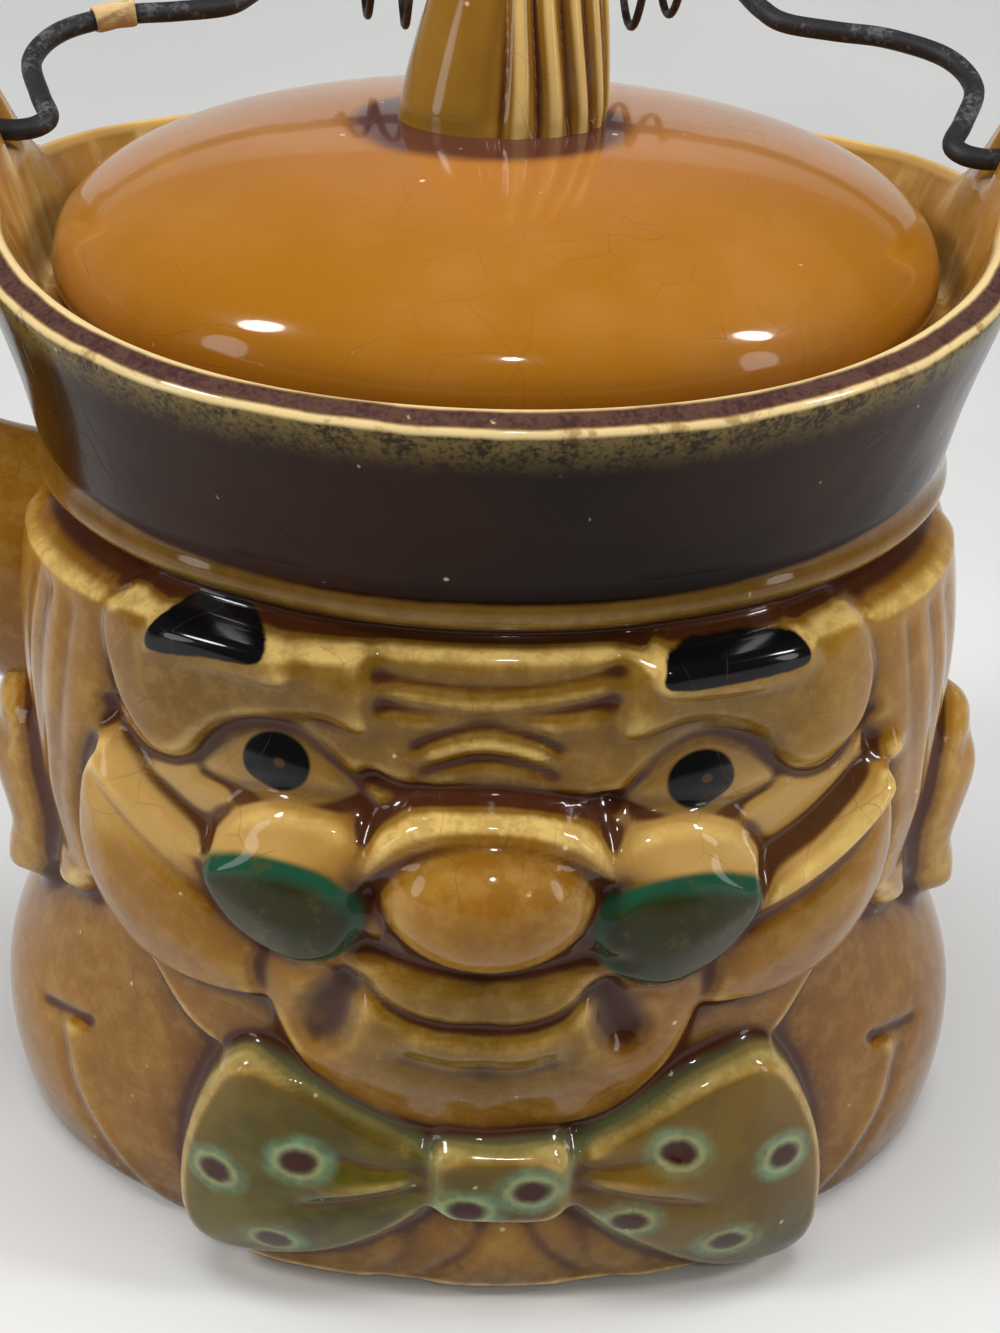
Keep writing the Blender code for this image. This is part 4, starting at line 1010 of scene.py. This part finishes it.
def tie_paint(read, base, dark, pale):
    """Olive tie with a green edge, and dark dots in broken green rings."""
    depth, up, cloud, speck = (read[name] for name in ("tie_depth", "up", "cloud", "speck"))
    green = cloud.step(0.38, 0.60).mix(tint(86, 80, 22), tint(40, 48, 12))
    green = (read["patch"].step(0.46, 0.64) * 0.5).mix(green, tint(118, 80, 28))
    green = (up.step(30.0, 46.0) * 0.4).mix(green, tint(112, 84, 32))
    tie = depth.step(0.0, 1.6) * (1 - pale * 0.5)
    base = (tie * (0.3 + 0.62 * (1 - dark))).mix(base, green)
    base = ((1 - abs(depth - 0.3).step(0.0, 1.5)) * 0.3).mix(base, tint(120, 150, 100))
    across, up = read["across"] + (speck - 0.5) * 0.9, up + (read["grain"] - 0.5) * 0.8
    broken = 0.12 + 0.5 * (speck * 0.5 + cloud * 0.5).step(0.38, 0.62)
    for centre in TIE_DOTS:
        ring = near_spot(across, up, centre, (1.0, 1.0))
        halo = (1 - ring.step(3.2, 5.2)) * depth.step(-1.0, 0.3)
        base = (halo * broken).mix(base, tint(108, 154, 122))
        base = (ring.between(2.0, 3.0, 0.5) * 0.4).mix(base, tint(176, 176, 120))
        base = (1 - ring.step(1.3, 2.9)).mix(base, tint(56, 18, 8))
    return base


def face_paint(read, base):
    """Green lenses that are olive inside, eyes with black pupils, and black brows."""
    across, up, cloud, speck = (read[name] for name in ("across", "up", "cloud", "speck"))
    inward = read["lens_depth"] + (cloud - 0.5) * 5.0 - (up - 78.0) * 0.12
    glass = inward.step(0.0, 2.6).mix(tint(30, 74, 52), tint(40, 40, 8))
    glass = (speck.step(0.54, 0.7) * 0.4).mix(glass, tint(92, 74, 20))
    base = read["lens_depth"].step(-0.9, 0.2).mix(base, glass)
    base = (read["eye_depth"].step(0.0, 0.8) * 0.5).mix(base, tint(150, 116, 58))
    for centre in (PUPIL_LEFT, PUPIL_RIGHT):
        ring = near_spot(across, up, centre, (1.0, 0.9))
        base = ((1 - ring.step(4.3, 4.9)) * read["eye_depth"].step(-0.9, -0.2)).mix(base, tint(12, 11, 12))
        spot = near_spot(across, up, (centre[0] + 0.6, centre[1] + 0.2), (0.8, 0.7))
        base = (1 - spot.step(0.6, 1.2)).mix(base, tint(74, 50, 26))
    brow = (read["black_depth"] + (speck - 0.5) * 0.8).step(-0.15, 0.25)
    return brow.mix(base, tint(10, 10, 12))


def hat_paint(wired, place, read, base, colours):
    """Dark band with a speckled upper edge, the rim's brown strip between pale lines, and the amber inside.

    The band's lower edge rises with the square of the distance from the middle of the front.
    """
    side, up, cloud, speck = (read[name] for name in ("side", "up", "cloud", "speck"))
    from_rim = read["from_rim"] + (cloud - 0.5) * 1.6
    near_side = side.maths("MINIMUM", side, 80.0)
    lower = (up - 121.5 + (cloud - 0.5) * 1.2 - 0.0006 * near_side * near_side).step(-0.3, 0.5)
    fleck = wired.noise(place, 1500.0, 2.0, 0.6)
    mottle = (fleck * 0.5 + speck * 0.5).step(0.38, 0.58)
    band = read["patch"].step(0.40, 0.62).mix(colours.hat, tint(42, 18, 5))
    band = from_rim.step(0.5, 7.5).mix(mottle.mix(tint(48, 34, 16), tint(112, 94, 50)), band)
    base = (lower * from_rim.step(0.0, 0.8)).mix(base, band)
    front = 1 - side.step(76.0, 104.0)
    edge = (from_rim.between(-0.6, 0.5, 0.3) * (0.35 + 0.5 * speck.step(0.35, 0.5))
            + from_rim.between(-4.4, -3.1, 0.4) * 0.8) * lower
    inside = (1 - from_rim.step(-5.0, -4.2)) * lower
    inner = cloud.step(0.35, 0.7).mix(tint(178, 134, 66), tint(148, 98, 36))
    streak = wired.noise(wired.stretched(place, (90.0, 90.0, 12.0)), 1.0, 3.0, 0.6)
    inner = (streak.step(0.50, 0.72) * 0.75).mix(inner, tint(216, 186, 122))
    base = inside.mix(base, inner)
    base = (from_rim.between(-5.6, -0.4, 0.5) * lower * (1 - front)).mix(base, tint(190, 150, 84))
    base = (edge * (0.5 + 0.5 * front)).mix(base, tint(226, 202, 146))
    strip = from_rim.between(-3.1, -0.6, 0.35) * lower * front
    base = strip.mix(base, (mottle * 0.5).mix(tint(62, 38, 38), tint(98, 72, 56)))
    coat = 0.55 - 0.38 * lower * from_rim.step(-1.0, 3.0)
    return base, lower, strip, coat


def bust_glaze(colours):
    """Glaze of the bust and spout with the painted parts, fine cracks, pinholes and a soft waviness."""
    made, wired = new_material("amber_glaze")
    place = wired.place()
    read = {name: wired.attribute(name) for name in ("hollow", "up", *SPOUT_FIELDS)}
    for name, *grain in (("cloud", 45.0, 4.0, 0.6), ("patch", 16.0, 2.0, 0.5), ("grain", 900.0, 2.0, 0.6),
                         ("speck", 260.0, 3.0, 0.7)):
        read[name] = wired.noise(place, *grain)
    craze = crazing(wired, place, 130.0, 0.016)
    base, dark, pale = glaze_over_relief(wired, place, read, colours)
    base = face_paint(read, tie_paint(read, base, dark, pale))
    base, lower, strip, coat = hat_paint(wired, place, read, base, colours)
    base = (craze * 0.3 * (1 - lower)).mix(base, tint(90, 48, 20))
    # Painted shade: a dark disc stands for the unlit inside of each hinge hole, which is only a dimple in the skin
    base = read["lug_hole_shade"].step(0.35, 0.8).mix(base, tint(34, 18, 10))
    pits = (1 - wired.cells(place, 210.0).step(0.05, 0.11)) * read["speck"].step(0.55, 0.62)
    base = (pits * 0.6).mix(base, tint(228, 206, 160))
    wave = wired.noise(place, 70.0, 1.0) * 0.7 + wired.noise(place, 240.0, 1.0) * 0.12 - craze * 0.05
    return finish_material(made, {"Coat Roughness": 0.05, "Coat IOR": 1.4, "Specular IOR Level": 0.05},
                           base_color=base, roughness=0.16 + 0.14 * dark + 0.2 * strip, coat_weight=coat,
                           normal=wired.bump(wave, 0.35, 0.0016))


def lid_glaze(colours):
    """Honey glaze on the lid, darker low on the dome, with the fluted knob and the stain round it."""
    made, wired = new_material("lid_glaze")
    place = wired.place()
    cloud = wired.noise(place, 26.0, 4.0, 0.6)
    grain = wired.noise(place, 420.0, 2.0, 0.6)
    ridge, knob, leafy, spread = map(wired.attribute, ("ridge", "on_knob", "leafy", "from_middle"))
    craze = crazing(wired, place, 120.0, 0.010)
    base = spread.step(24.0, 56.0).mix(colours.glaze, tint(148, 94, 20))
    base = (cloud.step(0.42, 0.68) * 0.5).mix(base, tint(166, 112, 54))
    off_centre = wired.node("ShaderNodeVectorMath", {"operation": "DOT_PRODUCT"},
                            {0: place, 1: (70.0, 170.0, 0.0)}, "Value")
    stain = (1 - (spread + off_centre + (cloud - 0.5) * 6.0).step(17.0, 20.6)) * (1 - knob)
    base = (stain * 0.92).mix(base, tint(66, 32, 34))
    wood = cloud.step(0.4, 0.65).mix(tint(150, 108, 36), tint(120, 80, 22))
    wood = (0.0 - ridge).step(-0.05, 0.42).mix(wood, tint(84, 44, 14))
    wood = ((ridge + (cloud - 0.5) * 0.3).step(0.16, 0.46) * 0.9).mix(wood, tint(216, 182, 112))
    wood = (leafy * 0.5).mix(wood, tint(140, 102, 36))
    base = knob.mix(base, wood)
    base = (craze * 0.25).mix(base, tint(110, 62, 22))
    specks = (1 - wired.cells(place, 160.0).step(0.04, 0.09)) * grain.step(0.52, 0.6)
    base = (specks * 0.7).mix(base, tint(236, 214, 170))
    wave = wired.noise(place, 38.0, 1.0) * 0.8 + wired.noise(place, 150.0, 1.0) * 0.1 - craze * 0.05
    fixed = {"Coat Weight": 0.6, "Coat Roughness": 0.06, "Coat IOR": 1.4, "Specular IOR Level": 0.05}
    return finish_material(made, fixed, base_color=base, roughness=0.14 + 0.12 * grain,
                           normal=wired.bump(wave, 0.3, 0.002))


def wire_coating(name, shade, worn):
    """Dull coating on wire, scuffed to a lighter grey in patches."""
    made, wired = new_material(name)
    place = wired.place()
    patch = wired.noise(place, 180.0, 4.0, 0.65)
    fine = wired.noise(place, 1400.0, 2.0, 0.6)
    scuff = (patch * 0.7 + fine * 0.4).step(0.56, 0.70)
    return finish_material(made, {"IOR": 1.45}, base_color=(scuff * 0.7).mix(shade, worn),
                           roughness=0.42 + 0.25 * patch,
                           normal=wired.bump(patch * 0.6 + fine * 0.3, 0.4, 0.0004))


def paper_tape(shade):
    """Tan paper tape with dirty edges and fine fibres."""
    made, wired = new_material("paper_tape")
    place = wired.place()
    fibre = wired.noise(wired.stretched(place, (900, 3200, 3200)), 1.0, 3.0, 0.6)
    stain = wired.noise(place, 300.0, 3.0)
    base = (fibre.step(0.35, 0.7) * 0.5).mix(shade, tint(214, 188, 140))
    base = (stain.step(0.5, 0.7) * 0.5).mix(base, tint(140, 104, 62))
    return finish_material(made, {"IOR": 1.4}, base_color=base, roughness=0.72 + 0.15 * stain,
                           normal=wired.bump(fibre, 0.5, 0.0003))


# ---- operators ----

def settings(context):
    return context.scene.teapot


class TEAPOT_OT_pot(bpy.types.Operator):
    """Bust, hat brim, lugs and spout, with their glaze"""
    bl_idname = "teapot.pot"
    bl_label = "Pot"

    def execute(self, context):
        chosen = settings(context).pot
        shape = PotShape(millimetres(chosen))
        mesh = joined("pot_glazed", [pot_skin(shape), spout_skin(shape)])
        pot = show("pot_glazed", mesh, bust_glaze(chosen))
        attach(pot, "pot")
        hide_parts("body")
        return {"FINISHED"}


class TEAPOT_OT_lid(bpy.types.Operator):
    """Domed lid with its plume-shaped knob"""
    bl_idname = "teapot.lid"
    bl_label = "Lid"

    def execute(self, context):
        shape = PotShape(millimetres(settings(context).pot))
        chosen = settings(context).lid
        lid = show("lid_glazed", lid_skin(millimetres(chosen), shape), lid_glaze(chosen))
        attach(lid, "pot")
        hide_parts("lid")
        return {"FINISHED"}


class TEAPOT_OT_bail(bpy.types.Operator):
    """Wire bail, its grip coil and the tape on its left arm"""
    bl_idname = "teapot.bail"
    bl_label = "Bail"

    def execute(self, context):
        shape = PotShape(millimetres(settings(context).pot))
        chosen = settings(context).bail
        sizes = millimetres(chosen)
        hinge = shape.hinge()
        outside = float(shape.oval(np.array(hinge))[0])
        inside = outside - shape.wall

        def lean(points):
            return leaned(points, hinge, chosen.tilt)

        mesh = bail_mesh(sizes, bail_line(sizes, inside, outside, 9), lean)
        bail = show("bail_wire", mesh, wire_coating("coated_wire", chosen.coating, tint(96, 95, 96)))
        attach(bail, "handle")
        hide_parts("bail")

        mesh = coil_mesh(sizes, chosen.grip_turns, lean)
        coil = show("grip_coil_wire", mesh, wire_coating("coil_wire", tint(34, 22, 20), tint(84, 70, 66)))
        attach(coil, "handle")
        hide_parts("grip_coil")

        mesh = tape_mesh(sizes, bail_line(sizes, inside, outside, 40), inside, lean)
        tape = show("tape_wrap", mesh, paper_tape(chosen.tape))
        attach(tape, "handle")
        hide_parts("tape_band")
        return {"FINISHED"}


# Each light: name, place, the point it faces, width, height, watts, and whether gloss shows it.
LIGHTS = (("key_left", (-0.9, -0.35, 0.95), (0, 0, 0.1), 0.2, 0.3, 7.0, True),
          ("key_right", (1.0, -0.25, 0.9), (0, 0, 0.1), 0.15, 0.3, 6.0, True),
          ("top", (0.0, -0.1, 1.4), (0, 0, 0), 1.2, 0.7, 15.0, False),
          ("front", (0.1, -1.0, 1.1), (0, 0, 0.05), 0.1, 0.1, 2.5, True),
          ("side_left", (-1.0, -0.45, 0.3), (0, 0, 0.08), 0.25, 0.5, 1.6, True),
          ("side_right", (1.0, -0.45, 0.3), (0, 0, 0.08), 0.2, 0.5, 1.4, True))
CAMERA_PLACE = (0.003, -0.2717, 0.2315)
CAMERA_DOWN, CAMERA_LEFT, CAMERA_ROLL = 29.43, 0.16, 1.7
PHOTO_HEIGHT, FOCAL_PIXELS, SENSOR = 1333, 1900, 36.0


def floor_mesh():
    """A strip that lies flat and, past 0.55 m behind, rises by the square of the way further back."""
    run = np.linspace(-1.4, 1.4, 60)[:, None] + np.zeros((1, 2))
    width = np.array([[-2.2, 2.2]]) + np.zeros((60, 1))
    points = np.stack([width, run, np.clip(run - 0.55, 0, None) ** 2], -1).reshape(-1, 3)
    index = np.arange(120).reshape(60, 2)
    faces = np.stack([index[:-1, 0], index[:-1, 1], index[1:, 1], index[1:, 0]], -1)
    mesh = bpy.data.meshes.new("floor")
    mesh.from_pydata(points.tolist(), [], faces.tolist())
    mesh.shade_smooth()
    return mesh


def floor_finish():
    """Pale matt floor, faintly mottled."""
    made, wired = new_material("pale_floor")
    base = wired.noise(wired.place(), 6.0, 2.0).step(0.3, 0.7).mix(tint(208, 208, 207), tint(214, 214, 213))
    return finish_material(made, {"Roughness": 0.55}, base_color=base)


class TEAPOT_OT_stage(bpy.types.Operator):
    """Pale floor, soft lights and the camera"""
    bl_idname = "teapot.stage"
    bl_label = "Stage"

    def execute(self, context):
        scene = context.scene
        show("floor", floor_mesh(), floor_finish())
        for name, place, aim, width, height, power, in_gloss in LIGHTS:
            light = bpy.data.lights.new(name, "AREA")
            light.shape, light.size, light.size_y = "ELLIPSE", width, height
            light.energy = power
            lamp = bpy.data.objects.new(name, light)
            lamp.visible_glossy = in_gloss
            scene.collection.objects.link(lamp)
            turn = (Vector(aim) - Vector(place)).to_track_quat("-Z", "Y")
            lamp.matrix_world = Matrix.Translation(place) @ turn.to_matrix().to_4x4()

        scene.world = scene.world or bpy.data.worlds.new("room")
        scene.world.use_nodes = True
        room = scene.world.node_tree.nodes["Background"]
        room.inputs["Color"].default_value = (0.76, 0.77, 0.78, 1)
        room.inputs["Strength"].default_value = 0.12

        lens = bpy.data.cameras.new("camera")
        lens.sensor_fit, lens.sensor_height = "VERTICAL", SENSOR
        lens.lens = FOCAL_PIXELS * SENSOR / PHOTO_HEIGHT
        lens.clip_start = 0.01
        camera = bpy.data.objects.new("camera", lens)
        scene.collection.objects.link(camera)
        camera.matrix_world = (Matrix.Translation(CAMERA_PLACE)
                               @ Matrix.Rotation(math.radians(CAMERA_LEFT), 4, "Z")
                               @ Matrix.Rotation(math.radians(90 - CAMERA_DOWN), 4, "X")
                               @ Matrix.Rotation(math.radians(CAMERA_ROLL), 4, "Z"))
        scene.camera = camera
        scene.view_settings.view_transform = "Standard"
        return {"FINISHED"}


class TEAPOT_PT_panel(bpy.types.Panel):
    bl_label = "Teapot"
    bl_space_type = "VIEW_3D"
    bl_region_type = "UI"
    bl_category = "Teapot"

    def draw(self, context):
        chosen = settings(context)
        for operator, group in ((TEAPOT_OT_pot, chosen.pot), (TEAPOT_OT_lid, chosen.lid),
                                (TEAPOT_OT_bail, chosen.bail)):
            box = self.layout.box()
            for name in group.__annotations__:
                box.prop(group, name)
            box.operator(operator.bl_idname)
        self.layout.operator(TEAPOT_OT_stage.bl_idname)


CLASSES = (PotSettings, LidSettings, BailSettings, TeapotSettings, TEAPOT_OT_pot, TEAPOT_OT_lid,
           TEAPOT_OT_bail, TEAPOT_OT_stage, TEAPOT_PT_panel)


def register():
    for made in CLASSES:
        bpy.utils.register_class(made)
    bpy.types.Scene.teapot = PointerProperty(type=TeapotSettings)


def unregister():
    del bpy.types.Scene.teapot
    for made in reversed(CLASSES):
        bpy.utils.unregister_class(made)


def main():
    register()
    for step in (bpy.ops.teapot.pot, bpy.ops.teapot.lid, bpy.ops.teapot.bail, bpy.ops.teapot.stage):
        step()


if __name__ == "__main__":
    main()
